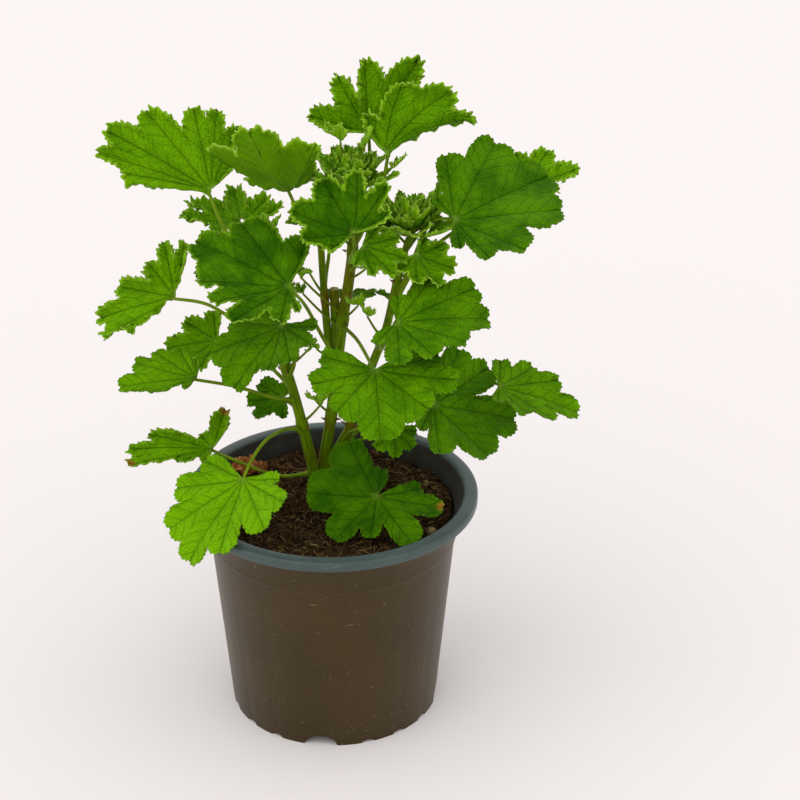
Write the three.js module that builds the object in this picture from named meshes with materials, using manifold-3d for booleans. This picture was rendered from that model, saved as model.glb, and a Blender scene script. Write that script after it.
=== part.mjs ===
// A lemon-scented geranium in its 13 cm nursery pot, in millimetres, +Z up.
// The origin is the middle of the pot's foot, on the surface that the pot stands on.
// The plant is shown from the front, which is the -Y side.
import * as THREE from "three";
import { mergeVertices } from "three/addons/utils/BufferGeometryUtils.js";
import Module from "manifold-3d";

const wasm = await Module();
wasm.setup();

// Driving dimensions

// The pot: a moulded cup with a turned-down lip and a scalloped foot.
const POT = {
  height: 106,
  lipRadius: 65,
  lipWidth: 6.1,
  lipDrop: 4.4,
  wall: 1.4,
  footRadius: 47.3,
  neckRadius: 57,
  floorHeight: 6,
  footInnerRadius: 43,
  shoulderHeight: 85,
  shoulderStep: 0.6,
  throatHeight: 98,
  facets: 32,
};
const DRAIN_ARCH = { width: 13, height: 4.5, first: -96.5, count: 4, facets: 6 };
const FOOT_NICK = { width: 5.5, height: 1.3, after: [26, 45, 64], facets: 3 };
const FOOT_CUT_LENGTH = 16;
const DRAIN_HOLE = { radius: 4, ringRadius: 28, count: 8 };

// The peat fills the pot to about 9 mm below the lip and is heaped round the crown.
const SOIL = {
  level: 97,
  heap: 2.5,
  heapSpread: 18,
  rough: 0.9,
  clearance: 0.3,
  rings: [44, 33, 22, 11],
  facets: 32,
};
const CROWN = { x: -7, y: 17, bottom: 82, top: 102, radius: 5.5, holeRadius: 7.6 };

// Gap between neighbouring solids, and how far a solid may be simplified.
const GAP = 0.35;
const SIMPLIFY = 0.06;

// Each leaf's blade and stalk. The stalk ends a little way under the blade.
const BLADE_THICKNESS = 0.8;
const STALK_RADIUS = 1.15;
const STALK_SIDES = 5;
const STALK_STEP = 12;
const STALK_END = 1.5;

// Stems, as points along each axis with the radius there.
const STEMS = {
  left: [
    [-7, 16, 84, 3.6],
    [-8, 15, 101, 3.3],
    [-13, 13, 129, 2.9],
    [-18, 12, 152, 2.7],
    [-22, 11, 167, 2.6],
    [-27, 11, 183, 2.3],
    [-30, 12, 198, 2.0],
    [-31, 14, 210, 1.7],
  ],
  centre: [
    [-6, 18, 84, 3.8],
    [-5, 18.5, 103, 3.4],
    [-1, 18, 131, 3.0],
    [2, 18, 156, 3.0],
    [5, 18, 181, 3.0],
    [8, 18, 200, 2.8],
    [10, 18, 221, 2.5],
    [8, 18, 240, 2.1],
  ],
  back: [
    [2, 18, 156, 2.4],
    [1, 20, 169, 2.3],
    [-1, 21, 189, 2.2],
    [-3, 22, 211, 2.0],
    [-4, 22, 226, 1.7],
  ],
  right: [
    [-5, 18, 86, 3.4],
    [-3, 18.5, 104, 3.2],
    [8, 18, 128, 2.7],
    [17, 16, 157, 2.4],
    [24, 14, 178, 2.2],
    [28, 12, 198, 2.0],
    [31, 12, 211, 1.9],
    [34, 12, 222, 1.7],
  ],
};
const STEM_SIDES = 8;
const STEM_STEP = 9;

// The old main stem, cut off flat above the fork.
const STUB = { from: [3.6, 17, 166], to: [4, 14.5, 199], radius: 2.9 };

// A swollen joint on a stem: which stem, the height, and how far it stands out.
const JOINTS = [
  ["left", 131, 1.22],
  ["left", 160, 1.2],
  ["left", 184, 1.2],
  ["centre", 133, 1.15],
  ["centre", 180, 1.22],
  ["centre", 214, 1.2],
  ["back", 190, 1.2],
  ["right", 130, 1.2],
  ["right", 172, 1.2],
  ["right", 203, 1.2],
];
const JOINT_HALF_HEIGHT = 3.2;

// The two growing tips: a dense tuft of young crinkled leaves on a small core.
const TUFTS = [
  {
    name: "shoot_tip_centre",
    at: [7.5, 19, 247.6],
    core: 5.6,
    leaves: 13,
    reach: 19.1,
    first: 61,
  },
  {
    name: "shoot_tip_right",
    at: [35, 12, 228.5],
    core: 4.5,
    leaves: 12,
    reach: 20,
    first: 75,
  },
];
const TUFT_TURN = 137.5;
const YOUNG_BLADE_THICKNESS = 0.7;
const YOUNG_LOBES = [-46, 0, 46];
const YOUNG_NOTCH = 0.74;
const YOUNG_FORM = { fold: 22, arch: 20, dish: 0.1 };
const YOUNG_RISE = [78, 12];

// Leaves. `at` is where the stalk meets the blade. The blade's upper face leans
// `lean` degrees from straight up, towards the compass angle `toward`. `turn` is how far
// the midrib is turned from the steepest way down the blade. A lobe is its angle from the
// midrib, the reach of its tip, and the reach of the notch after it where that is deep.
// The blade is folded up along the midrib, arched down along it, and dished. Two folds are
// for its left and its right half. `flare` is how far the edge spreads beyond the end lobes,
// and `sweep` curves the midrib sideways.
// The stalk grows from `stem` at the height `high` and bends through `via`.
const LEAVES = [
  {
    name: "leaf_top",
    at: [17, 22, 266],
    lean: 65,
    toward: -85,
    turn: 180,
    lobes: [[-75, 22, 14], [-36, 38, 24], [1, 31, 13], [27, 28, 17], [72, 27]],
    fold: 6,
    arch: -10,
    dish: 0.1,
    flare: 14,
    stem: "centre",
    high: 226,
    via: [[15, 28, 238], [17, 29, 252]],
  },
  {
    name: "leaf_top_right",
    at: [24, 10, 262],
    lean: 60,
    toward: -110,
    turn: 120,
    lobes: [[-80, 11], [-40, 18], [-3, 40, 33], [20, 37, 30], [50, 29], [88, 18]],
    fold: [12, -130],
    arch: 20,
    dish: 0.05,
    flare: 12,
    sweep: 16,
    stem: "centre",
    high: 218,
    via: [[18, 11, 232], [23, 12, 248]],
  },
  {
    name: "leaf_centre",
    at: [11, -14, 235],
    lean: 60,
    toward: -100,
    turn: -145,
    lobes: [
      [-92, 18, 14],
      [-66, 25, 16],
      [-34, 26, 19],
      [0, 28, 22],
      [40, 28, 20],
      [64, 22, 15],
      [92, 13],
    ],
    fold: 8,
    arch: 10,
    dish: 0.05,
    flare: 12,
    stem: "centre",
    high: 208,
    via: [[9, 4, 216], [11, -8, 226]],
  },
  {
    name: "leaf_centre_lower",
    at: [16.5, -8, 229],
    lean: 35,
    toward: -80,
    turn: 60,
    lobes: [[-85, 11], [-50, 15], [-18, 19], [12, 20], [42, 16], [80, 11]],
    fold: 8,
    arch: 25,
    dish: 0,
    stem: "centre",
    high: 204,
    via: [[13, 8, 213], [16, -2, 223]],
  },
  {
    name: "leaf_right_upper",
    at: [53, -8, 239],
    lean: 30,
    toward: -100,
    turn: 125,
    lobes: [
      [-108, 16, 12],
      [-86, 28, 24],
      [-62, 35, 28],
      [-22, 44, 42],
      [6, 47, 38],
      [40, 43, 33],
      [70, 31, 20],
      [97, 13],
    ],
    fold: 10,
    arch: 15,
    dish: 0,
    fine: true,
    stem: "right",
    high: 190,
    via: [[34, 10, 208], [43, 9, 230]],
  },
  {
    name: "leaf_right_rear",
    at: [82, 22, 240],
    lean: 40,
    toward: -80,
    turn: 105,
    lobes: [[-95, 12], [-50, 12], [-14, 17, 14], [6, 30, 20], [36, 24, 16], [75, 17], [110, 12]],
    fold: 10,
    arch: 20,
    dish: 0,
    stem: "right",
    high: 206,
    via: [[50, 22, 218], [70, 24, 232]],
  },
  {
    name: "leaf_right_inner",
    at: [37, 0, 223],
    lean: 35,
    toward: -70,
    turn: 60,
    lobes: [[-120, 13], [-76, 15], [-40, 17], [5, 18], [45, 15], [80, 10]],
    fold: 8,
    arch: 20,
    dish: 0,
    stem: "right",
    high: 184,
    via: [[31, 6, 200], [36, 2, 212]],
  },
  {
    name: "leaf_right_middle",
    at: [29, -28, 201],
    lean: 25,
    toward: -100,
    turn: 100,
    lobes: [
      [-132, 14, 10],
      [-88, 24, 14],
      [-52, 24, 20],
      [-20, 30, 26],
      [8, 39, 36],
      [30, 38, 28],
      [57, 28, 20],
      [88, 14],
    ],
    fold: 6,
    arch: 20,
    dish: 0,
    stem: "right",
    high: 168,
    via: [[21, 2, 178], [26, -18, 193]],
  },
  {
    name: "leaf_front_centre",
    at: [20, -38, 184],
    lean: 30,
    toward: -85,
    turn: 0,
    lobes: [
      [-108, 23, 19],
      [-75, 28, 18],
      [-42, 26, 22],
      [0, 31, 24],
      [46, 28, 23],
      [75, 34, 24],
      [100, 27],
    ],
    fold: 6,
    arch: 25,
    dish: 0,
    stem: "centre",
    high: 178,
    via: [[16, 13, 179], [18, -12, 185]],
  },
  {
    name: "leaf_right_lower",
    at: [45, -6, 151],
    lean: 30,
    toward: -70,
    turn: 70,
    lobes: [
      [-112, 15],
      [-84, 26, 20],
      [-42, 33, 27],
      [2, 37, 16],
      [46, 34, 30],
      [72, 31, 22],
      [105, 16],
    ],
    fold: 6,
    arch: 15,
    dish: 0,
    stem: "right",
    high: 118,
    via: [[18, 10, 127], [36, 0, 142]],
  },
  {
    name: "leaf_far_right",
    at: [73, -8, 162],
    lean: 15,
    toward: -70,
    turn: 50,
    lobes: [
      [-75, 11],
      [-34, 20, 17],
      [-13, 28, 24],
      [11, 36, 31],
      [36, 27, 23],
      [62, 20],
      [107, 16],
    ],
    fold: 8,
    arch: 20,
    dish: 0,
    stem: "right",
    high: 128,
    via: [[46, 23, 137], [70, 18, 149]],
  },
  {
    name: "leaf_under_centre",
    at: [28, -10, 141],
    lean: 50,
    toward: -65,
    turn: -15,
    lobes: [[-85, 11], [-45, 12], [4, 12], [47, 11], [92, 10]],
    fold: 6,
    arch: 20,
    dish: 0,
    stem: "right",
    high: 124,
    via: [[12, 8, 132], [22, -2, 140]],
  },
  {
    name: "leaf_over_soil",
    at: [21, -20, 112],
    lean: 25,
    toward: -85,
    turn: -40,
    lobes: [
      [-153, 16, 15],
      [-122, 32, 24],
      [-56, 30, 20],
      [-4, 28, 17],
      [28, 21, 11],
      [67, 30, 16],
      [116, 29, 20],
      [142, 20],
    ],
    fold: 4,
    arch: 12,
    dish: 0,
    stem: "right",
    high: 106,
    via: [[6, 8, 107], [15, -8, 108]],
  },
  {
    name: "leaf_front_left",
    at: [-37.5, -28, 126],
    lean: 35,
    toward: -130,
    turn: 0,
    lobes: [
      [-92, 22, 20],
      [-60, 31, 29],
      [-33, 39, 36],
      [-8, 42, 34],
      [14, 34, 19],
      [56, 29, 25],
      [84, 27, 20],
      [112, 17],
    ],
    fold: 6,
    arch: 20,
    dish: 0,
    stem: "left",
    high: 126,
    via: [[-18, 4, 134], [-28, -12, 137], [-34, -21, 132]],
  },
  {
    name: "leaf_far_left_low",
    at: [-55, 26, 112],
    lean: 35,
    toward: -90,
    turn: -90,
    lobes: [
      [-105, 19, 8],
      [-50, 9, 8],
      [-16, 30, 27],
      [-4, 39, 36],
      [8, 39, 20],
      [24, 16],
      [60, 9],
    ],
    fold: 20,
    arch: 25,
    dish: 0.05,
    stem: "left",
    high: 106,
    via: [[-24, 15, 104], [-44, 20, 109]],
  },
  {
    name: "leaf_left_middle",
    at: [-58, -6, 164],
    lean: 15,
    toward: -60,
    turn: -100,
    lobes: [
      [-105, 11],
      [-80, 18, 17],
      [-52, 22, 21],
      [-30, 27, 26],
      [-8, 33, 28],
      [8, 22],
      [40, 9],
    ],
    fold: 12,
    arch: 12,
    dish: 0,
    flare: 10,
    stem: "left",
    high: 144,
    via: [[-24, 6, 148], [-42, 0, 157]],
  },
  {
    name: "leaf_left_rear",
    at: [-52, 34, 163],
    lean: 30,
    toward: -95,
    turn: -80,
    lobes: [[-88, 15], [-42, 18], [-5, 24], [30, 20], [60, 18], [92, 14]],
    fold: 10,
    arch: 20,
    dish: 0,
    stem: "left",
    high: 150,
    via: [[-28, 22, 156], [-42, 32, 163]],
  },
  {
    name: "leaf_far_left",
    at: [-69, 26, 188],
    lean: 40,
    toward: -105,
    turn: -65,
    lobes: [
      [-112, 26, 18],
      [-92, 27, 17],
      [-68, 21, 14],
      [-31, 28, 26],
      [-8, 39, 34],
      [8, 37, 24],
      [20, 26],
    ],
    fold: 10,
    arch: 25,
    dish: 0,
    flare: 6,
    stem: "left",
    high: 168,
    via: [[-36, 14, 177], [-54, 20, 187]],
  },
  {
    name: "leaf_left_large",
    at: [-16, -22, 215],
    lean: 25,
    toward: -70,
    turn: -125,
    lobes: [
      [-88, 26, 23],
      [-42, 41, 37],
      [-16, 47, 41],
      [12, 38, 28],
      [36, 34, 23],
      [62, 33, 17],
      [98, 22, 12],
      [125, 14],
    ],
    fold: 6,
    arch: 18,
    dish: 0,
    fine: true,
    flare: 8,
    stem: "centre",
    high: 160,
    via: [[-4, 8, 178], [-11, -10, 202]],
  },
  {
    name: "leaf_left_lower",
    at: [-20, -8, 190],
    lean: 30,
    toward: -125,
    turn: 0,
    lobes: [
      [-110, 16],
      [-76, 24, 22],
      [-46, 32, 26],
      [-12, 34, 16],
      [14, 22, 15],
      [42, 21, 17],
      [76, 18],
      [105, 16],
    ],
    fold: 6,
    arch: 18,
    dish: 0,
    stem: "left",
    high: 156,
    via: [[-16, 4, 166], [-17, -1, 180]],
  },
  {
    name: "leaf_upper_left_inner",
    at: [-39, 30, 222],
    lean: 20,
    toward: -90,
    turn: -135,
    lobes: [[-108, 20, 14], [-79, 19, 10], [-33, 23, 12], [10, 30, 16], [37, 27, 14], [75, 14]],
    fold: 8,
    arch: 12,
    dish: 0,
    stem: "left",
    high: 192,
    via: [[-34, 24, 205], [-37, 28, 215]],
  },
  {
    name: "leaf_upper_left",
    at: [-50.6, 20, 241],
    lean: 45,
    toward: -75,
    turn: -106,
    lobes: [
      [-119, 22, 16],
      [-104, 30, 26],
      [-86, 35, 32],
      [-71, 36, 28],
      [-44, 43, 40],
      [-24, 51, 46],
      [-12, 50, 42],
      [-4, 38],
      [34, 28, 22],
      [76, 18],
    ],
    fold: [-125, 10],
    arch: 15,
    dish: 0.05,
    fine: true,
    flare: 8,
    stem: "left",
    high: 202,
    via: [[-37, 8, 214], [-46, 12, 229]],
  },
  {
    name: "leaf_top_left",
    at: [-17, 17, 241.5],
    lean: 45,
    toward: 80,
    turn: 175,
    lobes: [[-88, 20, 17], [-60, 38, 30], [-12, 41, 33], [30, 36, 26], [46, 22]],
    fold: 10,
    arch: -15,
    dish: 0.1,
    flare: 8,
    stem: "back",
    high: 214,
    via: [[-9, 21, 225], [-14, 19, 233]],
  },
  {
    name: "leaf_low_rear_left",
    at: [-22, 30, 136],
    lean: 34,
    toward: -85,
    turn: -90,
    lobes: [[-110, 8], [-37, 14], [-3, 17], [26, 16], [80, 10]],
    fold: 8,
    arch: 20,
    dish: 0,
    stem: "left",
    high: 118,
    via: [[-13, 22, 126], [-18, 28, 133]],
  },
  {
    name: "leaf_rear_left",
    at: [-38, 38, 200],
    lean: 35,
    toward: 120,
    turn: 0,
    lobes: [[-105, 16], [-60, 22], [-20, 27], [20, 27], [60, 23], [105, 16]],
    fold: 6,
    arch: 15,
    dish: 0,
    stem: "left",
    high: 178,
    via: [[-31, 24, 188], [-36, 34, 196]],
  },
  {
    name: "leaf_rear_upper",
    at: [-2, 40, 221],
    lean: 40,
    toward: 95,
    turn: 0,
    lobes: [[-100, 14], [-55, 19], [0, 23], [55, 20], [100, 14]],
    fold: 6,
    arch: 15,
    dish: 0,
    stem: "back",
    high: 196,
    via: [[-1, 30, 207], [-2, 37, 216]],
  },
  {
    name: "leaf_rear_centre",
    at: [8, 36, 186],
    lean: 35,
    toward: 90,
    turn: 0,
    lobes: [[-95, 11], [-48, 13], [0, 16], [48, 13], [95, 11]],
    fold: 6,
    arch: 15,
    dish: 0,
    stem: "centre",
    high: 164,
    via: [[5, 28, 174], [7, 34, 181]],
  },
  {
    name: "leaf_rear_right",
    at: [33, 36, 181],
    lean: 35,
    toward: 55,
    turn: 0,
    lobes: [[-105, 15], [-60, 21], [-20, 25], [20, 25], [60, 21], [105, 15]],
    fold: 6,
    arch: 15,
    dish: 0,
    stem: "right",
    high: 158,
    via: [[24, 25, 167], [30, 33, 176]],
  },
  {
    name: "leaf_rear_low",
    at: [30, 40, 133],
    lean: 35,
    toward: 70,
    turn: 0,
    lobes: [[-105, 15], [-60, 21], [-20, 24], [20, 24], [60, 21], [105, 15]],
    fold: 6,
    arch: 15,
    dish: 0,
    stem: "right",
    high: 112,
    via: [[10, 26, 120], [23, 36, 129]],
  },
];

// How the edge of a blade is cut.
const NOTCH_SHARE = 0.78;
const LOBE_ROUNDNESS = 2.4;
const TOOTH = 0.07;
const END_FLARE = 18;
const END_SHARE = 0.5;
const INNER_RING = 0.56;
const FOLD_WIDTH = 3;
const MITRE_LIMIT = 0.3;
const WAVE = 1.1;
const WAVE_BEAT = 5;

// What lies on the peat.
const DEAD_STALK = { points: [[-30, 33], [-18, 31], [-9, 27]], radius: 0.6, lift: 1.2 };
const DEAD_LEAF = { at: [-41, 28], core: 2.6, scraps: 5, reach: 6, lift: 0 };
const DEAD_FORM = { lean: 56, turn: 180, fold: 30, arch: 50, dish: 0.2 };
const FEED_PELLET = { at: [44, -27], radius: 2, lift: 0.5 };

const DEG = Math.PI / 180;

const COLOURS = {
  pot: 0x4a3a2c,
  soil: 0x36281a,
  stem: 0x56690c,
  leaf: 0x437a08,
  leafBright: 0x62980c,
  young: 0x4c8412,
  dead: 0x8a4a1c,
  deadStalk: 0x6b4326,
  pellet: 0xa08a5a,
};

// Solids: a closed mesh to and from a boolean body.

function bodyOf(geometry) {
  const bare = new THREE.BufferGeometry();
  const source = geometry.index ? geometry.toNonIndexed() : geometry;
  bare.setAttribute("position", source.getAttribute("position"));
  const merged = mergeVertices(bare, 1e-3);
  const corners = merged.index.array;
  const triangles = [];
  for (let i = 0; i < corners.length; i += 3) {
    const [a, b, c] = [corners[i], corners[i + 1], corners[i + 2]];
    if (a !== b && b !== c && a !== c) {
      triangles.push(a, b, c);
    }
  }
  return new wasm.Manifold(
    new wasm.Mesh({
      numProp: 3,
      vertProperties: new Float32Array(merged.getAttribute("position").array),
      triVerts: new Uint32Array(triangles),
    }),
  );
}

function geometryOf(body) {
  const mesh = body.simplify(SIMPLIFY).getMesh();
  const geometry = new THREE.BufferGeometry();
  geometry.setAttribute("position", new THREE.BufferAttribute(mesh.vertProperties.slice(), 3));
  geometry.setIndex(new THREE.BufferAttribute(mesh.triVerts.slice(), 1));
  geometry.computeVertexNormals();
  return geometry;
}

function vector([x, y, z]) {
  return new THREE.Vector3(x, y, z);
}

// A closed surface from lists of points that all have the same length, end caps included.
function loft(rings) {
  const sides = rings[0].length;
  const positions = [];
  const index = [];
  rings.flat().forEach((p) => positions.push(p.x, p.y, p.z));
  for (let i = 0; i < rings.length - 1; i += 1) {
    for (let j = 0; j < sides; j += 1) {
      const next = (j + 1) % sides;
      const a = i * sides + j;
      const b = i * sides + next;
      const c = (i + 1) * sides + j;
      const d = (i + 1) * sides + next;
      index.push(a, b, d, a, d, c);
    }
  }
  const last = (rings.length - 1) * sides;
  for (let j = 1; j < sides - 1; j += 1) {
    index.push(0, j + 1, j);
    index.push(last, last + j, last + j + 1);
  }
  const geometry = new THREE.BufferGeometry();
  geometry.setAttribute("position", new THREE.Float32BufferAttribute(positions, 3));
  geometry.setIndex(index);
  return geometry;
}

// A round stalk along a smooth curve, its radius given along the way.
function stalk(curve, radiusAt, sides, steps) {
  const frames = curve.computeFrenetFrames(steps, false);
  const rings = [];
  for (let i = 0; i <= steps; i += 1) {
    const t = i / steps;
    const centre = curve.getPointAt(t);
    const radius = radiusAt(t, centre);
    const ring = [];
    for (let j = 0; j < sides; j += 1) {
      const angle = (2 * Math.PI * j) / sides;
      ring.push(
        centre
          .clone()
          .addScaledVector(frames.normals[i], radius * Math.cos(angle))
          .addScaledVector(frames.binormals[i], radius * Math.sin(angle)),
      );
    }
    rings.push(ring);
  }
  return loft(rings);
}

// Pot: one wall section turned round the axis, with the foot scalloped and the floor bored.

function wallRadius(height) {
  return POT.footRadius + ((POT.neckRadius - POT.footRadius) * height) / POT.height;
}

function potGeometry() {
  const lipBottom = POT.height - POT.lipDrop;
  const lipInner = POT.lipRadius - POT.lipWidth;
  const floorTop = POT.floorHeight + POT.wall;
  const shoulder = wallRadius(POT.shoulderHeight);
  const section = [
    [0, POT.floorHeight],
    [POT.footInnerRadius, POT.floorHeight],
    [POT.footInnerRadius, 0],
    [POT.footRadius, 0],
    [shoulder, POT.shoulderHeight - 0.4],
    [shoulder + POT.shoulderStep, POT.shoulderHeight + 0.4],
    [wallRadius(POT.throatHeight) + POT.shoulderStep, POT.throatHeight],
    [lipInner + POT.wall, POT.height - 1.8],
    [POT.lipRadius - 1.7, POT.height - 1.8],
    [POT.lipRadius - 1.4, lipBottom],
    [POT.lipRadius, lipBottom],
    [POT.lipRadius, POT.height - 1.2],
    [POT.lipRadius - 0.6, POT.height - 0.3],
    [POT.lipRadius - 1.8, POT.height],
    [lipInner + 1, POT.height],
    [lipInner, POT.height - 0.8],
    [wallRadius(POT.throatHeight) - POT.wall, POT.throatHeight],
    [wallRadius(floorTop) - POT.wall, floorTop],
    [0, floorTop],
  ].map(([r, z]) => new THREE.Vector2(r, z));
  let body = bodyOf(new THREE.LatheGeometry(section, POT.facets).rotateX(Math.PI / 2));
  for (let i = 0; i < DRAIN_ARCH.count; i += 1) {
    const angle = DRAIN_ARCH.first + (i * 360) / DRAIN_ARCH.count;
    body = body.subtract(footCut(DRAIN_ARCH, angle));
    FOOT_NICK.after.forEach((after) => {
      body = body.subtract(footCut(FOOT_NICK, angle + after));
    });
  }
  for (let i = 0; i < DRAIN_HOLE.count; i += 1) {
    const angle = (360 / DRAIN_HOLE.count) * i * DEG;
    const hole = new THREE.CylinderGeometry(DRAIN_HOLE.radius, DRAIN_HOLE.radius, 8, 6)
      .rotateX(Math.PI / 2)
      .translate(
        DRAIN_HOLE.ringRadius * Math.cos(angle),
        DRAIN_HOLE.ringRadius * Math.sin(angle),
        POT.floorHeight,
      );
    body = body.subtract(bodyOf(hole));
  }
  return geometryOf(body);
}

// A round-topped cut through the foot ring, seen from outside as an arch.
function footCut(form, angle) {
  const cut = new THREE.CylinderGeometry(1, 1, FOOT_CUT_LENGTH, form.facets)
    .rotateZ(Math.PI / 2)
    .scale(1, form.width / 2, form.height)
    .translate(POT.footRadius, 0, 0)
    .rotateZ(angle * DEG);
  return bodyOf(cut);
}

// Soil: a tapered plug with a heaped, rough top and a plain hole for the crown.

function soilHeight(x, y) {
  const away = Math.hypot(x - CROWN.x, y - CROWN.y);
  const heap = SOIL.heap * Math.exp(-((away / SOIL.heapSpread) ** 2));
  const rough = Math.sin(x * 0.31 + 1.2) * Math.cos(y * 0.27) + 0.6 * Math.sin(x * 0.17 - y * 0.4);
  return SOIL.level + heap + SOIL.rough * rough;
}

function soilGeometry() {
  const bottom = POT.floorHeight + POT.wall + SOIL.clearance;
  const inner = (height) => wallRadius(height) - POT.wall - SOIL.clearance;
  const section = [
    [0, bottom],
    [inner(bottom) - 0.3, bottom],
    [inner(SOIL.level) - 0.5, SOIL.level],
    ...SOIL.rings.map((r) => [r, SOIL.level]),
    [0, SOIL.level],
  ].map(([r, z]) => new THREE.Vector2(r, z));
  const plug = new THREE.LatheGeometry(section, SOIL.facets).rotateX(Math.PI / 2);
  const points = plug.getAttribute("position");
  for (let i = 0; i < points.count; i += 1) {
    if (points.getZ(i) > SOIL.level - 1) {
      points.setZ(i, soilHeight(points.getX(i), points.getY(i)));
    }
  }
  const depth = SOIL.level - CROWN.bottom + 20;
  const hole = new THREE.CylinderGeometry(CROWN.holeRadius, CROWN.holeRadius, depth, 16)
    .rotateX(Math.PI / 2)
    .translate(CROWN.x, CROWN.y, CROWN.bottom + depth / 2);
  return geometryOf(bodyOf(plug).subtract(bodyOf(hole)));
}

// Stems: four shoots from one crown, with swollen joints, and the cut-off old stem.

const stemCurves = Object.fromEntries(
  Object.entries(STEMS).map(([name, points]) => [
    name,
    new THREE.CatmullRomCurve3(points.map(vector)),
  ]),
);

function stemRadius(name, height) {
  const points = STEMS[name];
  const upper = points.findIndex((p) => p[2] >= height);
  if (upper < 1) {
    return upper === 0 ? points[0][3] : points.at(-1)[3];
  }
  const [low, high] = [points[upper - 1], points[upper]];
  const share = (height - low[2]) / (high[2] - low[2]);
  let radius = low[3] + (high[3] - low[3]) * share;
  JOINTS.forEach(([stem, at, swell]) => {
    const off = Math.abs(height - at) / JOINT_HALF_HEIGHT;
    if (stem === name && off < 1) {
      radius *= 1 + (swell - 1) * (1 - off * off);
    }
  });
  return radius;
}

// The point of a stem's axis at a height, and the way the stem runs there.
function stemAt(name, height) {
  const curve = stemCurves[name];
  let [low, high] = [0, 1];
  for (let i = 0; i < 30; i += 1) {
    const middle = (low + high) / 2;
    if (curve.getPointAt(middle).z < height) {
      low = middle;
    } else {
      high = middle;
    }
  }
  return { point: curve.getPointAt(low), along: curve.getTangentAt(low) };
}

function stemsGeometry() {
  const crown = new THREE.CatmullRomCurve3([
    new THREE.Vector3(CROWN.x, CROWN.y, CROWN.bottom + GAP),
    new THREE.Vector3(CROWN.x, CROWN.y, (CROWN.bottom + CROWN.top) / 2),
    new THREE.Vector3(CROWN.x, CROWN.y, CROWN.top),
  ]);
  let body = bodyOf(stalk(crown, (t) => CROWN.radius * (1 - 0.25 * t * t), 10, 4));
  Object.entries(stemCurves).forEach(([name, curve]) => {
    const steps = Math.round(curve.getLength() / STEM_STEP) + 2;
    const tube = stalk(curve, (t, centre) => stemRadius(name, centre.z), STEM_SIDES, steps);
    body = body.add(bodyOf(tube));
  });
  const stub = new THREE.CatmullRomCurve3([
    vector(STUB.from),
    vector(STUB.from).lerp(vector(STUB.to), 0.5),
    vector(STUB.to),
  ]);
  body = body.add(bodyOf(stalk(stub, () => STUB.radius, STEM_SIDES, 3)));
  return geometryOf(body);
}

// Leaves: a stalk and a blade grown as one.

// The blade's own axes: along the midrib, to its left, and out of the upper face.
function bladeAxes(leaf) {
  const [lean, toward, turn] = [leaf.lean * DEG, leaf.toward * DEG, leaf.turn * DEG];
  const face = new THREE.Vector3(
    Math.sin(lean) * Math.cos(toward),
    Math.sin(lean) * Math.sin(toward),
    Math.cos(lean),
  );
  const down = new THREE.Vector3(
    Math.cos(lean) * Math.cos(toward),
    Math.cos(lean) * Math.sin(toward),
    -Math.sin(lean),
  );
  const across = new THREE.Vector3().crossVectors(face, down);
  const midrib = down.multiplyScalar(Math.cos(turn)).addScaledVector(across, Math.sin(turn));
  return { midrib, left: new THREE.Vector3().crossVectors(face, midrib), face };
}

// A point of the middle surface of the blade, from its place on the flat leaf.
function bladePoint(leaf, axes, a, b) {
  const length = leaf.length;
  const reach = Math.hypot(a, b);
  const angle = Math.atan2(b, a);
  const wave = WAVE * (reach / length) ** 2 * Math.sin(WAVE_BEAT * angle + leaf.at[0]);
  const folds = [leaf.fold].flat();
  const fold = (b > 0 ? folds[0] : folds.at(-1)) * DEG;
  const round = FOLD_WIDTH / fold;
  const turned = Math.min(Math.abs(b), FOLD_WIDTH) / round;
  const flat = Math.max(Math.abs(b) - FOLD_WIDTH, 0);
  const rise = round * (1 - Math.cos(turned)) + flat * Math.sin(fold);
  const height = (leaf.dish * reach * reach) / length + rise + wave;
  const bend = (leaf.arch * DEG) / length;
  const along = Math.sin(bend * a) / bend + height * Math.sin(bend * a);
  const up = (Math.cos(bend * a) - 1) / bend + height * Math.cos(bend * a);
  const across = Math.sign(b) * (round * Math.sin(turned) + flat * Math.cos(fold));
  const swing = (leaf.sweep ?? 0) * DEG * (1 - reach / length);
  return vector(leaf.at)
    .addScaledVector(axes.midrib, along * Math.cos(swing) - across * Math.sin(swing))
    .addScaledVector(axes.left, along * Math.sin(swing) + across * Math.cos(swing))
    .addScaledVector(axes.face, up);
}

function bladeNormal(leaf, axes, a, b) {
  const step = 0.05;
  const alongMidrib = bladePoint(leaf, axes, a + step, b).sub(bladePoint(leaf, axes, a - step, b));
  const alongLeft = bladePoint(leaf, axes, a, b + step).sub(bladePoint(leaf, axes, a, b - step));
  return alongMidrib.cross(alongLeft).normalize();
}

// From the middle surface to the skin of a blade 2 mm thick: it halves the angle of a fold and
// is longer there, so that a folded blade keeps its thickness.
function bladeOffset(leaf, axes, a, b) {
  const mean = bladeNormal(leaf, axes, a, b + FOLD_WIDTH)
    .add(bladeNormal(leaf, axes, a, b - FOLD_WIDTH))
    .multiplyScalar(0.5);
  return mean.divideScalar(Math.max(mean.lengthSq(), MITRE_LIMIT));
}

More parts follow.
